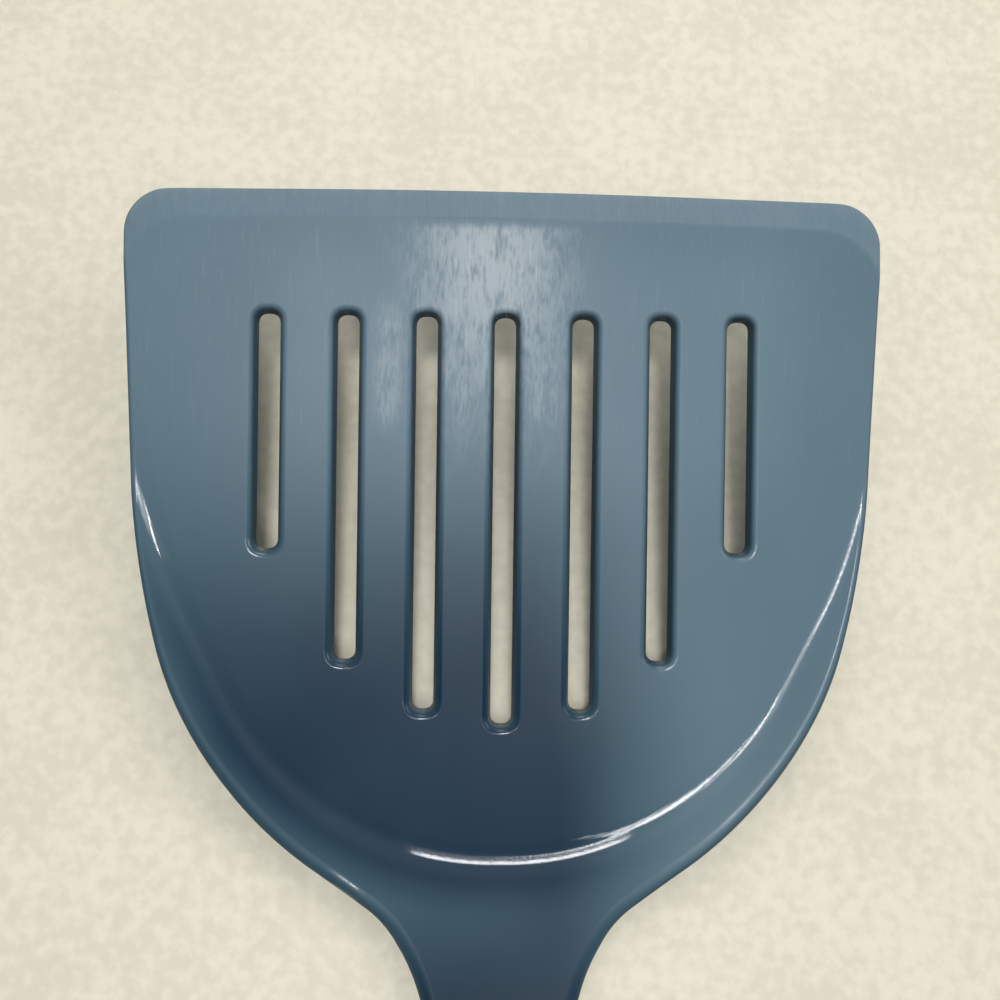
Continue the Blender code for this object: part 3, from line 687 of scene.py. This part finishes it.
top_holes, under_holes = [], []
wall_points = np.array([v.co for v in wall_mesh.vertices], float)
for level in (0.0, -floor_thickness):
    wall_points[np.abs(wall_points[:, 2] - level) < 1e-7, 2] = level
wall_ways = np.zeros_like(wall_points)
for slot_x, slot_start, _ in slot_ends:
    mine = np.abs(wall_points[:, 0] - slot_x) < slot_pitch / 2
    middle_y = np.clip(wall_points[mine, 1], slot_start, slot_front - slot_half_width)
    inward = unit(np.stack([slot_x - wall_points[mine, 0], middle_y - wall_points[mine, 1]], 1))
    heights = wall_points[mine, 2]
    above_floor = heights + floor_thickness
    lift = np.clip(1 + heights / slot_lead_in, 0, 1) - np.clip(1 - above_floor / slot_under_edge, 0, 1)
    on_draft = above_floor > slot_under_edge - 1e-6
    lift = np.maximum(lift, np.where(on_draft, slot_draft / floor_thickness, -1))
    flat = np.sqrt(1 - lift**2)
    wall_ways[mine] = np.column_stack([inward * flat[:, None], lift])
    for level, holes in ((0.0, top_holes), (-floor_thickness, under_holes)):
        loop = wall_points[mine & (wall_points[:, 2] == level)][:, :2]
        centre = loop.mean(0)
        loop = loop[np.argsort(np.arctan2(loop[:, 1] - centre[1], loop[:, 0] - centre[0]))]
        holes.append(clockwise(loop))
wall_numbers = add_points(wall_points, wall_ways)
faces += [[wall_numbers[i] for i in polygon.vertices] for polygon in wall_mesh.polygons]

# The channel under the neck, which keeps the wall of the moulding even.
channel_back, channel_front, channel_half = tang_y(0) + 0.006, -0.020, 0.0042
arc = np.linspace(0, pi, 25)
front_end = np.stack([channel_half * np.cos(arc), channel_front + channel_half * (np.sin(arc) - 1)], 1)
rear_end = np.stack([-channel_half * np.cos(arc), channel_back + channel_half * (1 - np.sin(arc))], 1)
channel = np.vstack([front_end, rear_end])
channel = clockwise(split_steps(closed_loop(channel), edge_step)[:-1])
into_channel = sides_right(channel, closed=True)
channel_edge = np.full(len(channel), 0.0004)
mouth_rim, mouth = edge_rings(channel, into_channel, channel_edge, under_height, -1, 3)
roof_fillet = 0.0008
fillet_rings = []
for angle in np.linspace(0, pi / 2, 5):
    plan = channel + into_channel * roof_fillet * (1 - cos(angle))
    ways = sin(angle) * facing(channel_height, plan, -1)
    ways[:, :2] += cos(angle) * into_channel
    roof = channel_height(plan) - roof_fillet * (1 - sin(angle))
    fillet_rings.append(add_on(plan, roof, ways))
for ring_a, ring_b in zip([mouth_rim] + fillet_rings[:-1], fillet_rings):
    bridge(ring_a, ring_b)

# The two holes that the pins pass through, square to the tang.
neck_middle = rise(handle_start) - neck_thickness / 2 / cos(handle_angle)
handle_turn = Matrix.Rotation(-handle_angle, 4, "X")
handle_axis = Matrix.Translation((0, -handle_start, neck_middle)) @ handle_turn
pin_holes = {1: [], -1: []}
for station in pin_stations:
    for side in (1, -1):
        loop = []
        for angle in np.linspace(0, 2 * pi, 24, endpoint=False):
            x, y = pin_way_radius * cos(angle), pin_way_radius * sin(angle) - station
            loop.append((handle_axis @ Vector((x, y, side * neck_thickness / 2)))[:2])
        pin_holes[side].append(clockwise(np.array(loop)))
for loop_above, loop_below in zip(pin_holes[1], pin_holes[-1]):
    into = sides_right(loop_above, closed=True)
    into_3d = np.column_stack([into, np.zeros(len(into))])
    ring_above = add_on(loop_above, top_height(loop_above), into_3d)
    bridge(ring_above, add_on(loop_below, under_height(loop_below), into_3d))

# The broad faces above and below, and the roof of the channel.
bend_offsets = list(np.linspace(neck_bend - 0.007, neck_bend + 0.007, 9))
fillet_offsets = list(np.linspace(-0.0032, 0.0022, 24))
rim_offsets = [0.003, 0.0045, 0.006, 0.008, 0.010, 0.0125, 0.015, 0.018, 0.022, 0.027, 0.032, 0.038, 0.044]
bevel_line = split_steps(fine_bevel[::3], edge_step)
bevel_ways = sides_right(bevel_line)
bevel_offsets = (-0.0005, -bevel_softness, 0, bevel_softness, 0.0005, 0.0029)
bevel_lines = [bevel_line + bevel_ways * offset for offset in bevel_offsets]
holes_above = top_holes + pin_holes[1]
holes_below = under_holes + pin_holes[-1] + [mouth]
top_lines = crease_offsets(fillet_offsets + rim_offsets + bend_offsets) + bevel_lines
add_patch(top_border, holes_above, top_lines, top_height, 1)

under_fillet = under_fillet_radius * tan(rim_angle / 2) * np.linspace(-1.05, 1.0, 13) + heel_corner
under_offsets = [0.006, 0.008, 0.010, 0.012, 0.0145, 0.018, 0.022, 0.026, 0.029, 0.034, 0.040, 0.046]
under_lines = crease_offsets(list(under_fillet) + under_offsets + bend_offsets)
add_patch(under_border, holes_below, under_lines, under_height, -1)

roof_border = channel + into_channel * roof_fillet
roof_lines = crease_offsets([0.024, 0.028, 0.032, 0.037, 0.042] + bend_offsets)
add_patch(roof_border, [], roof_lines, channel_height, -1)


streak_places = (0.010, 0.0124, 0.0154, 0.023, 0.027, 0.031, 0.034, 0.037)
streak_starts = (-0.0027, -0.0025, -0.0021, -0.0018, -0.0014, -0.0011, -0.0007, -0.0004)
streak_widths = (0.0004, 0.0006, 0.0009, 0.0010, 0.0009, 0.0008, 0.0007, 0.0007)
slot_rears = np.array([(x, y - 0.0004) for x, y, _ in slot_ends])


def grown(distance, length):
    """A share that grows from nothing to one over a length."""
    return np.clip(distance / length, 0, 1)


def polished(points, ways):
    """How the skin of each point has kept: 1 is glossy as moulded, 0 is satin, -1 is rubbed dull."""
    plan = points[:, :2]
    edge_turn = grown(1 - (ways * unit(facing(top_height, plan, 1))).sum(1), 0.01)
    x, y = plan.T
    by_slot = (np.abs(x) < 0.034) & (y > 0.016)
    slot_end = slot_rears[np.abs(x[:, None] - slot_rears[:, 0]).argmin(1), 1] > y
    right_edge = np.interp(x, (0.020, 0.030), (0, 0.3))
    by_neck = np.interp(x, (-0.0220, -0.0205, -0.0185, -0.0175), (0, 0.6, 0.6, 0)) * (y < 0.006)
    slot_gloss = np.where(slot_end, np.interp(x, (-0.030, -0.022), (0.9, 0.5)), 0.0)
    edge = edge_turn * np.where(by_slot, slot_gloss, np.maximum(by_neck, right_edge))
    distance = distance_from(fine_crease, plan)
    on_arc = np.interp(x, (-0.0125, -0.0095, 0.015, 0.018), (0, 1, 1, 0))
    arc = on_arc * grown(distance + 0.0014, 0.0001) * grown(-0.00015 - distance, 0.0003)
    past = distance - np.interp(x, streak_places, streak_starts)
    left = np.interp(x, streak_places, streak_widths) - past
    streak = np.interp(x, (0.0085, 0.011), (0, 1)) * grown(past, 0.0001) * grown(left, 0.0003)
    stroke_place = np.interp(y, (0.040, 0.049), (-0.00136, -0.0001))
    stroke = (x < -0.030) * np.interp(y, (0.0392, 0.0405), (0, 1))
    stroke = stroke * np.clip((0.0004 - np.abs(distance - stroke_place)) / 0.0002 + 1, 0, 1)
    dull = grown(0.0035 - np.abs(distance), 0.0008)
    shine = np.maximum(np.maximum(edge, arc), np.maximum(streak, stroke))
    return shine - (1 - np.clip(shine * 3, 0, 1)) * np.maximum(dull, np.where(by_slot, 0, edge_turn))


def new_piece(name, mesh, look, body="root"):
    """An object for a finished mesh, with its material, that rides on the tool."""
    mesh.materials.clear()
    mesh.materials.append(look)
    piece = add_object(name, mesh)
    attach(piece, body)
    return piece


def turn_outwards(mesh, merge=0.0):
    """Merges points that lie closer than merge, and turns the faces of a closed mesh outwards."""
    bm = bmesh.new()
    bm.from_mesh(mesh)
    if merge:
        bmesh.ops.remove_doubles(bm, verts=bm.verts, dist=merge)
    bmesh.ops.recalc_face_normals(bm, faces=bm.faces)
    if bm.calc_volume(signed=True) < 0:
        bmesh.ops.reverse_faces(bm, faces=bm.faces)
    bm.to_mesh(mesh)
    bm.free()
    return mesh


head_mesh = plain_mesh("head", spots, faces)
turn_outwards(head_mesh).transform(blade_plane)
head_mesh.shade_smooth()
spots, facings = np.array(spots), unit(np.array(facings))
turned = facings @ np.array(blade_plane.to_3x3()).T
head_mesh.normals_split_custom_set_from_vertices([tuple(way) for way in turned])


def keep_share(name, values):
    """Keeps a number at each point of the head, for its material to read."""
    head_mesh.attributes.new(name, "FLOAT", "POINT").data.foreach_set("value", values)


keep_share("polish", polished(spots, facings))
# The bevel is painted lighter, partly rubbing and partly painted sheen, with a painted highlight along its
# inner edge; the front lip is rubbed lighter by use.
past_bevel = distance_from(fine_bevel, spots[:, :2])
inner_edge_glint, front_lip = np.exp(-((past_bevel / 0.00025) ** 2)), grown(past_bevel - 0.0030, 0.0009)
keep_share("bevel_rub_and_sheen", grown(past_bevel, 0.0003) + 0.6 * np.maximum(inner_edge_glint, front_lip))
# Painted shade: walls, slot sides and turned edges are held darker than the open faces.
straightness = (facings * unit(facing(top_height, spots[:, :2], 1))).sum(1)
keep_share("wall_shade", grown(0.96 - straightness, 0.5))
head = new_piece("nylon_head", head_mesh, nylon)
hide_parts("turner_head")

# Its finish: moulded slate blue, hazed and finely scratched where it slides over pans, with painted shade
# and painted sheen in its colour.
tree, shader = nylon.node_tree, nylon.node_tree.nodes["Principled BSDF"]
onto_blade = {"Vector": where, "Location": blade_plane.translation, "Rotation": (blade_tilt, 0, 0)}
on_blade = node(tree, "ShaderNodeMapping", onto_blade, vector_type="TEXTURE").outputs[0]
across, forward, up = node(tree, "ShaderNodeSeparateXYZ", {0: on_blade}).outputs


def stretched_noise(place, scales, detail=2.0, turn=0.0):
    """Noise drawn out along one way: scales are per metre across, along and up."""
    sizes = {"Vector": place, "Rotation": (0, 0, turn), "Scale": scales}
    return noise(node(place, "ShaderNodeMapping", sizes).outputs[0], 1.0, detail)


def swing(pattern, amount):
    """A pattern's swing to both sides of its middle."""
    return times(minus(pattern, 0.5), amount)


def between(value, rise, fall, end=0.0):
    """A share that grows over one stretch and falls to end over another."""
    return times(ramp(value, *rise), ramp(value, *fall, 1.0, end))


def share_at_points(name):
    return node(tree, "ShaderNodeAttribute", attribute_name=name).outputs["Fac"]


def bump(height, strength, distance):
    sizes = {"Strength": strength, "Distance": distance, "Height": height}
    return node(height, "ShaderNodeBump", sizes).outputs[0]


mottle = noise(on_blade, 70, 3)
blotch = plus(
    times(stretched_noise(on_blade, (620, 240, 60), 4), 0.5),
    times(stretched_noise(on_blade, (2600, 560, 60), 4), 0.5),
)
broad_cloud = stretched_noise(on_blade, (55, 20, 40), 2)
scratches = ramp(stretched_noise(on_blade, (3000, 130, 200), 3), 0.62, 0.72)
for scales, turn in (((2600, 150, 200), 0.35), ((2400, 140, 200), -0.5)):
    scratches = calc("MAXIMUM", scratches, ramp(stretched_noise(on_blade, scales, 2, turn), 0.64, 0.74))
wall_shade = share_at_points("wall_shade")
on_open_faces = minus(1.0, wall_shade)

# Where pans have scuffed it: a patch behind the front edge, and the middles of the bars behind that. Their
# whitish colour is partly real scuffing and partly painted sheen.
patch_across = band(across, -0.002, 0.001, 0.016)
patch = times(patch_across, between(forward, (0.046, 0.079), (0.0828, 0.0846)))
bar_place = calc("FRACT", calc("DIVIDE", across, slot_pitch))
bar_middle = band(bar_place, 0.5, 0.06, 0.30, 0.5)
bar_across = band(across, -0.004, 0.011, 0.017)
bar_rub_and_sheen = times(bar_middle, bar_across, between(forward, (0.055, 0.060), (0.070, 0.076)))
reach = calc("MAXIMUM", patch, bar_rub_and_sheen)
scuffed = times(reach, ramp(plus(blotch, times(reach, 0.14)), 0.42, 0.68))

# How light the base colour is painted: painted shade round the heel, lighter to the front and right.
right_of_middle = calc("MAXIMUM", minus(across, 0.0035), 0.0)
left_of_middle = calc("MAXIMUM", minus(-0.020, across), 0.0)
off_middle = plus(times(right_of_middle, 1.57), times(left_of_middle, 0.3), 0.0155)
ahead = calc("MAXIMUM", minus(forward, 0.010), 0.0)
from_heel = calc("SQRT", plus(times(off_middle, off_middle), times(ahead, ahead)))
# Painted sheen: the bars between the slots are lightened.
bar_sheen_along = between(forward, (0.040, 0.058), (0.074, 0.086), 0.2)
bar_sheen = times(band(across, 0.004, 0.028, 0.039), bar_sheen_along)
# Painted sheen: the top of the rim is lightened, most on the left.
painted_rim_sheen = times(ramp(up, 0.0004, 0.0030), ramp(forward, -0.016, -0.003))
painted_rim_sheen = times(painted_rim_sheen, ramp(across, -0.030, 0.020, 0.40, 0.06))
# The painted shade falls off with distance from the heel; random mottle and cloud vary the tone.
painted_lightness = plus(ramp(from_heel, 0.0185, 0.058, 0.0, 0.82), swing(mottle, 0.10))
painted_lightness = plus(painted_lightness, swing(broad_cloud, 0.14), times(bar_sheen, 0.16), painted_rim_sheen)
# Walls and turned edges keep a fixed dark share, as painted shade.
painted_lightness = plus(times(painted_lightness, on_open_faces), times(wall_shade, 0.28))

neck_shade_nylon, shaded_nylon = (0.003, 0.014, 0.027), (0.0025, 0.022, 0.046)
half_lit_nylon, lit_nylon = (0.045, 0.090, 0.122), (0.111, 0.172, 0.215)
half_lit = 0.4
# Shaded, half lit and lit copies of the nylon colour, chosen by the painted lightness.
low_share = calc("DIVIDE", painted_lightness, half_lit, clamp=True)
high_share = calc("DIVIDE", minus(painted_lightness, half_lit), 1 - half_lit, clamp=True)
base = blend_colour(low_share, shaded_nylon, half_lit_nylon)
base = blend_colour(high_share, base, lit_nylon)
# Painted shade: the neck is darker still.
base = blend_colour(ramp(forward, -0.024, -0.008), neck_shade_nylon, base)
scuff_and_sheen = times(plus(times(reach, 0.06), times(scuffed, 0.44)), on_open_faces)
bevel_rub_and_sheen = times(share_at_points("bevel_rub_and_sheen"), ramp(blotch, 0.35, 0.65, 0.055, 0.105))
scratch_share = times(scratches, ramp(forward, 0.035, 0.08, 0.0, 0.06))
marks = plus(scratch_share, times(scratches, scuffed, 0.3))
# The whitish scuff colour: partly scuffing, partly painted sheen.
wear_and_painted_light_colour = blend_colour(scuff_and_sheen, base, (0.48, 0.52, 0.54))
# Bevel lightened: partly rubbing, partly painted sheen and highlight.
wear_and_painted_light_colour = blend_colour(bevel_rub_and_sheen, wear_and_painted_light_colour, (0.42, 0.48, 0.50))
wear_and_painted_light_colour = blend_colour(marks, wear_and_painted_light_colour, (0.42, 0.47, 0.50))
polish = share_at_points("polish")
dullness = calc("MULTIPLY", polish, -1.0, clamp=True)
rough = plus(ramp(forward, 0.010, 0.060, 0.34, 0.40), swing(mottle, 0.12))
grain = noise(on_blade, 3500, 2)
relief = plus(times(grain, 0.25), times(scratch_share, -5.0))
fill(shader, {
    "Base Color": wear_and_painted_light_colour,
    "Roughness": plus(rough, times(dullness, 0.16)),
    "Specular IOR Level": 0.16,
    "Coat Weight": calc("MULTIPLY", polish, ramp(mottle, 0.2, 0.8, 0.8, 1.0), clamp=True),
    "Coat Roughness": 0.13,
    "Normal": bump(relief, 0.18, 0.00004),
    "Coat Normal": bump(noise(on_blade, 2200, 3), 0.25, 0.00003),
})


# Handle core: two moulded half shells of glossy slate-blue plastic that clamp the tang, with a fine
# parting line between them. Only short bare stretches show, at both ends of the grip.
shell_plastic, tree, shader, where = new_material("slate_blue_shell_plastic")
mottle = noise(where, 90, 3)
scratches = ramp(stretched_noise(where, (900, 60, 900), 2, 0.2), 0.64, 0.74)
shell_shades = (0.034, 0.058, 0.084), (0.040, 0.068, 0.097)
base = clouded(mottle, 0.3, 0.7, shell_shades)
rough = plus(ramp(mottle, 0.25, 0.75, 0.26, 0.34), times(scratches, 0.10))
relief = plus(times(noise(where, 2600), 0.5), times(scratches, -0.5))
fill(shader, {
    "Base Color": blend_colour(times(scratches, 0.08), base, (0.35, 0.42, 0.47)),
    "Roughness": rough,
    "Normal": bump(relief, 0.2, 0.00004),
})
for name in ("handle_upper_shell", "handle_lower_shell"):
    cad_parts[name].material_slots[0].material = shell_plastic


# End cap: a moulded socket over the rear of the two shells, with a round nose, a fine groove behind
# its front edge and a recessed bed on each side for the flanges of the hanging eyelet.
handle_length = 0.176
cap_start = handle_length - 0.028
cap_wall, cap_socket_depth, cap_nose = 0.0018, 0.0075, 0.013
fit_gap = 0.0003
handle_widths = [(0, 0.0096), (0.034, 0.0112, 0.25), (0.084, 0.0142, 0.4), (0.130, 0.0122, 0.3)]
handle_tops = [(0, 0.0066), (0.034, 0.0080, 0.25), (0.084, 0.0096, 0.4), (0.140, 0.0064, 0.3)]
handle_unders = [(0, 0.0062), (0.026, 0.0078, 0.25), (0.076, 0.0082, 0.4), (0.140, 0.0064, 0.3)]
handle_profiles = []
for profile, rear in ((handle_widths, 0.0136), (handle_tops, 0.0062), (handle_unders, 0.0062)):
    handle_profiles.append(rounded_line(profile + [(handle_length, rear)], 2e-6))
section_power, nose_power = 2.6, 3.5
around = np.linspace(0, 2 * pi, 128, endpoint=False)
round_lines = np.cos(around), np.sin(around)
full_x, full_z = (np.sign(line) * np.abs(line) ** (2 / section_power) for line in round_lines)
on_handle = blade_plane @ handle_axis


def handle_sizes(station, inset=0.0):
    """Half width, height above and depth below the handle's axis, drawn in by inset."""
    sizes = np.array([np.interp(station, *profile.T) - inset for profile in handle_profiles])
    share = np.clip((station - handle_length + cap_nose) / cap_nose, 0, 1)
    blunt = (1 - share**nose_power) ** 0.5
    return sizes * ((1 - share**2) ** 0.5, blunt, blunt)


def section(station, inset=0.0):
    """A soft-cornered section of the handle, in the handle's own frame."""
    width, above, under = handle_sizes(station, inset)
    z = np.where(full_z > 0, above, under) * full_z
    return np.column_stack([width * full_x, np.full(len(around), -station), z])


def rounded_end(station, size, steps, way=1):
    """Sections that round off an end of a sleeve: the front end, or the rear one if way is -1."""
    loops = []
    for angle in np.linspace(0, pi / 2, steps):
        back, inset = size * (1 - cos(angle)), size * (1 - sin(angle))
        loops.append(section(station + way * back, inset))
    return loops[::way]


def cover(name, loops, ends=True):
    """A mesh over a row of equal loops: its ends are closed, or its last loop meets its first."""
    size, rows = len(loops[0]), len(loops)
    sides = []
    for row in range(rows - 1 if ends else rows):
        a, b = row * size, (row + 1) % rows * size
        sides.append((a + size - 1, a, b, b + size - 1))
        sides += [(a + k - 1, a + k, b + k, b + k - 1) for k in range(1, size)]
    if ends:
        sides += [tuple(range(size)), tuple(range((rows - 1) * size, rows * size))]
    return turn_outwards(plain_mesh(name, np.vstack(loops), sides))


def turned_mesh(name, profile, station, hollow=True):
    """A mesh turned round an axis square to the handle, from a line of (radius, height).

    The line is closed for a hollow piece, and runs from end to end of a full one.
    """
    rings, sides = [], 96
    angles = np.linspace(0, 2 * pi, sides, endpoint=False)
    for radius, height in profile:
        ring = [radius * np.cos(angles), radius * np.sin(angles) - station, np.full(sides, height)]
        rings.append(np.column_stack(ring))
    return cover(name, rings, ends=not hollow)


def carved(name, blank, cutter):
    """The blank's mesh with the cutter's mesh taken away."""
    obj, tool = add_object(name + "_blank", blank), add_object(name + "_cutter", cutter)
    modifier = obj.modifiers.new("cut", "BOOLEAN")
    modifier.operation, modifier.solver, modifier.object = "DIFFERENCE", "EXACT", tool
    mesh = result_of(obj)
    bpy.data.objects.remove(tool)
    return turn_outwards(mesh, merge=0.000005)


def finish_handle_mesh(mesh, crease_degrees=32):
    """Lays a mesh of the handle's frame on the worktop, smooth but for its real corners."""
    mesh.transform(on_handle)
    mesh.shade_smooth()
    mesh.set_sharp_from_angle(angle=radians(crease_degrees))
    return mesh


eyelet_station = handle_length - cap_nose
eyelet_bore, eyelet_wall, eyelet_flange_radius, eyelet_flange = 0.0036, 0.0007, 0.006, 0.0006
eyelet_inset, cap_edge = 0.0004, 0.0004
_, eyelet_above, eyelet_under = handle_sizes(eyelet_station, eyelet_inset)
cap_front = cap_start + fit_gap
cap_groove_place, cap_groove_width, cap_groove_depth = cap_front + 0.0016, 0.0009, 0.00035


def cap_groove(station):
    """The depth of the cap's round-bottomed groove at one station."""
    share = np.clip(abs(station - cap_groove_place) / (cap_groove_width / 2), 0, 1)
    return cap_groove_depth * (1 - share**2) ** 2


cap_rim_stations = np.linspace(cap_groove_place - 0.0008, cap_groove_place + 0.0008, 13)
cap_side_stations = np.linspace(cap_start + 0.0035, eyelet_station, 12)
nose_steps = 24
loops = [section(cap_front + depth, cap_wall) for depth in (cap_socket_depth, 0.0)]
loops += rounded_end(cap_front, cap_edge, 5)
loops += [section(place, cap_groove(place)) for place in (*cap_rim_stations, *cap_side_stations)]
nose_angles = [pi / 2 * k / nose_steps for k in range(1, nose_steps)]
loops += [section(eyelet_station + cap_nose * sin(angle)) for angle in nose_angles]
loops.append(section(handle_length - 0.00001))
bed, soft, half_soft, outside_cap = eyelet_flange + fit_gap, 0.0003, 0.0002, 0.02
hole_radius, bed_radius = eyelet_bore + eyelet_wall + fit_gap, eyelet_flange_radius + fit_gap
bore_line = []
for side, reach in ((1, eyelet_above), (-1, eyelet_under)):
    half = [(bed_radius + soft, outside_cap), (bed_radius + soft, reach + half_soft)]
    half += [(bed_radius, reach - half_soft), (bed_radius, reach - bed), (hole_radius, reach - bed)]
    bore_line += [(radius, side * height) for radius, height in half[::side]]
cap_bore = turned_mesh("cap_bore", bore_line, eyelet_station, hollow=False)
cap_mesh = carved("end_cap", cover("end_cap", loops), cap_bore)
cap = new_piece("moulded_end_cap", finish_handle_mesh(cap_mesh), shell_plastic)
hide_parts("end_cap")


# Steel: a drawn ferrule over the front of the shells, with a groove turned behind its rear lip and a
# window for the neck, a rolled eyelet that lines the hanging hole, and two dowel pins.
steel, tree, shader, where = new_material("brushed_steel")
brushed = stretched_noise(where, (40, 5200, 40), 3)
fill(shader, {
    "Base Color": blend_colour(brushed, (0.50, 0.50, 0.48), (0.60, 0.60, 0.58)),
    "Metallic": 1.0,
    "Roughness": ramp(brushed, 0.2, 0.8, 0.24, 0.40),
    "Normal": bump(brushed, 0.15, 0.00003),
})

collar_length = 0.008
window_half_width, window_half_height, window_corner = 0.0076, 0.0029, 0.0016
collar_line = rounded_line([
    (collar_length, 0.0008), (collar_length, 0.0, 0.0003), (0.0068, 0.0, 0.0001), (0.0066, 0.0003, 0.00015),
    (0.0062, 0.0003, 0.00015), (0.0060, 0.0, 0.0001), (0.0, 0.0, 0.0006), (0.0, 0.0009),
], 2e-6)
window = [(window_half_width, 0)]
for side_x, side_z in ((1, 1), (-1, 1), (-1, -1), (1, -1)):
    window.append((side_x * window_half_width, side_z * window_half_height, window_corner))
window = rounded_line(window + [(window_half_width, 0)], 1e-6)
window_ways = np.unwrap(np.arctan2(window[:, 1], window[:, 0]))
front_loop = section(0.001)
loop_ways = np.unwrap(np.arctan2(front_loop[:, 2], front_loop[:, 0])) % (2 * pi)
window_x, window_z = (np.interp(loop_ways, window_ways, line, period=2 * pi) for line in window.T)
loops = [section(station, inset) for station, inset in collar_line]
for station, wider in ((0.0, 1.02), (0.0002, 1.0), (collar_wall, 1.0)):
    loops.append(np.column_stack([window_x * wider, np.full(len(window_x), -station), window_z * wider]))
loops += [section(station, collar_wall) for station in np.linspace(collar_wall, collar_length, 5)]
collar = new_piece("turned_ferrule", finish_handle_mesh(cover("neck_collar", loops, ends=False)), steel)
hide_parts("neck_collar")

tube_radius = eyelet_bore + eyelet_wall
eyelet_line = []
for side, reach in ((1, eyelet_above), (-1, eyelet_under)):
    half = [(eyelet_bore, 0.0), (eyelet_bore, reach, 0.0005), (eyelet_flange_radius - 0.0002, reach, 0.002)]
    half += [(eyelet_flange_radius, reach - 0.00025, 0.0001), (eyelet_flange_radius, reach - eyelet_flange)]
    half += [(tube_radius, reach - eyelet_flange), (tube_radius, 0.0)]
    half = rounded_line(half, 2e-6)[:-1] * (1, side)
    eyelet_line.append(half if side == 1 else half[:0:-1])
eyelet_line = np.vstack([eyelet_line[0], [(tube_radius, 0.0)], eyelet_line[1]])
eyelet_mesh = turned_mesh("hang_eyelet", eyelet_line, eyelet_station)
eyelet = new_piece("rolled_eyelet", finish_handle_mesh(eyelet_mesh), steel)
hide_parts("hang_eyelet")
for name in ("tang_pin_front", "tang_pin_rear"):
    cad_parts[name].material_slots[0].material = steel


# Soft grip: a sleeve of dark rubber moulded over the waist of the shells, with a row of shallow
# grooves across it that Geometry Nodes press into its outside.
rubber, tree, shader, where = new_material("soft_grip_rubber")
mottle = noise(where, 60, 3)
rubber_shades = (0.018, 0.028, 0.040), (0.023, 0.035, 0.048)
fill(shader, {
    "Base Color": clouded(mottle, 0.3, 0.7, rubber_shades),
    "Roughness": ramp(mottle, 0.25, 0.75, 0.62, 0.74),
    "Normal": bump(noise(where, 2400, 3), 0.3, 0.00006),
})

grip_start, grip_end, grip_thickness = 0.030 + fit_gap, 0.124 - fit_gap, 0.0022
groove_sizes = {"First": 0.044, "Last": 0.1065, "Pitch": 0.0048, "Width": 0.0018, "Depth": 0.0006}
grip_lip, grip_rows = 0.0006, 430
grip_stations = np.linspace(grip_start + grip_lip, grip_end - grip_lip, grip_rows)[1:-1]
loops = rounded_end(grip_start, grip_lip, 6) + [section(station) for station in grip_stations]
loops += rounded_end(grip_end, grip_lip, 6, -1)
outside = len(loops) * len(around)
loops += [section(station, grip_thickness) for station in np.linspace(grip_end, grip_start, 24)]
sleeve_mesh = cover("soft_grip", loops, ends=False)
sleeve_mesh.shade_smooth()
tree, given, result = new_tree("grip_grooves", groove_sizes)
place = node(tree, "GeometryNodeInputPosition").outputs[0]
station = times(node(tree, "ShaderNodeSeparateXYZ", {0: place}).outputs["Y"], -1.0)
count = calc("DIVIDE", minus(station, given["First"]), given["Pitch"])
last_count = calc("DIVIDE", minus(given["Last"], given["First"]), given["Pitch"])
nearest = calc("MAXIMUM", calc("ROUND", count), 0.0)
nearest = calc("MINIMUM", nearest, calc("FLOOR", last_count))
away = times(calc("ABSOLUTE", minus(count, nearest)), given["Pitch"])
pressed = ramp(away, 0.0, times(given["Width"], 0.5), 1.0, 0.0)
index = node(tree, "GeometryNodeInputIndex").outputs[0]
on_outside = calc("LESS_THAN", index, outside - 0.5)
depth = times(pressed, on_outside, given["Depth"], -1.0)
surface_way = node(tree, "GeometryNodeInputNormal").outputs[0]
inward = node(tree, "ShaderNodeVectorMath", {0: surface_way, 3: depth}, operation="SCALE").outputs[0]
grooved = node(tree, "GeometryNodeSetPosition", {"Geometry": given["Geometry"], "Offset": inward})
plain = node(tree, "GeometryNodeRealizeInstances", {0: grooved.outputs[0]}).outputs[0]
tree.links.new(in_material(plain, given["Material"]), result.inputs[0])
grip_mesh = evaluate(sleeve_mesh, tree, groove_sizes, rubber)
grip = new_piece("grooved_soft_grip", finish_handle_mesh(grip_mesh, 50), rubber)
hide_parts("soft_grip")
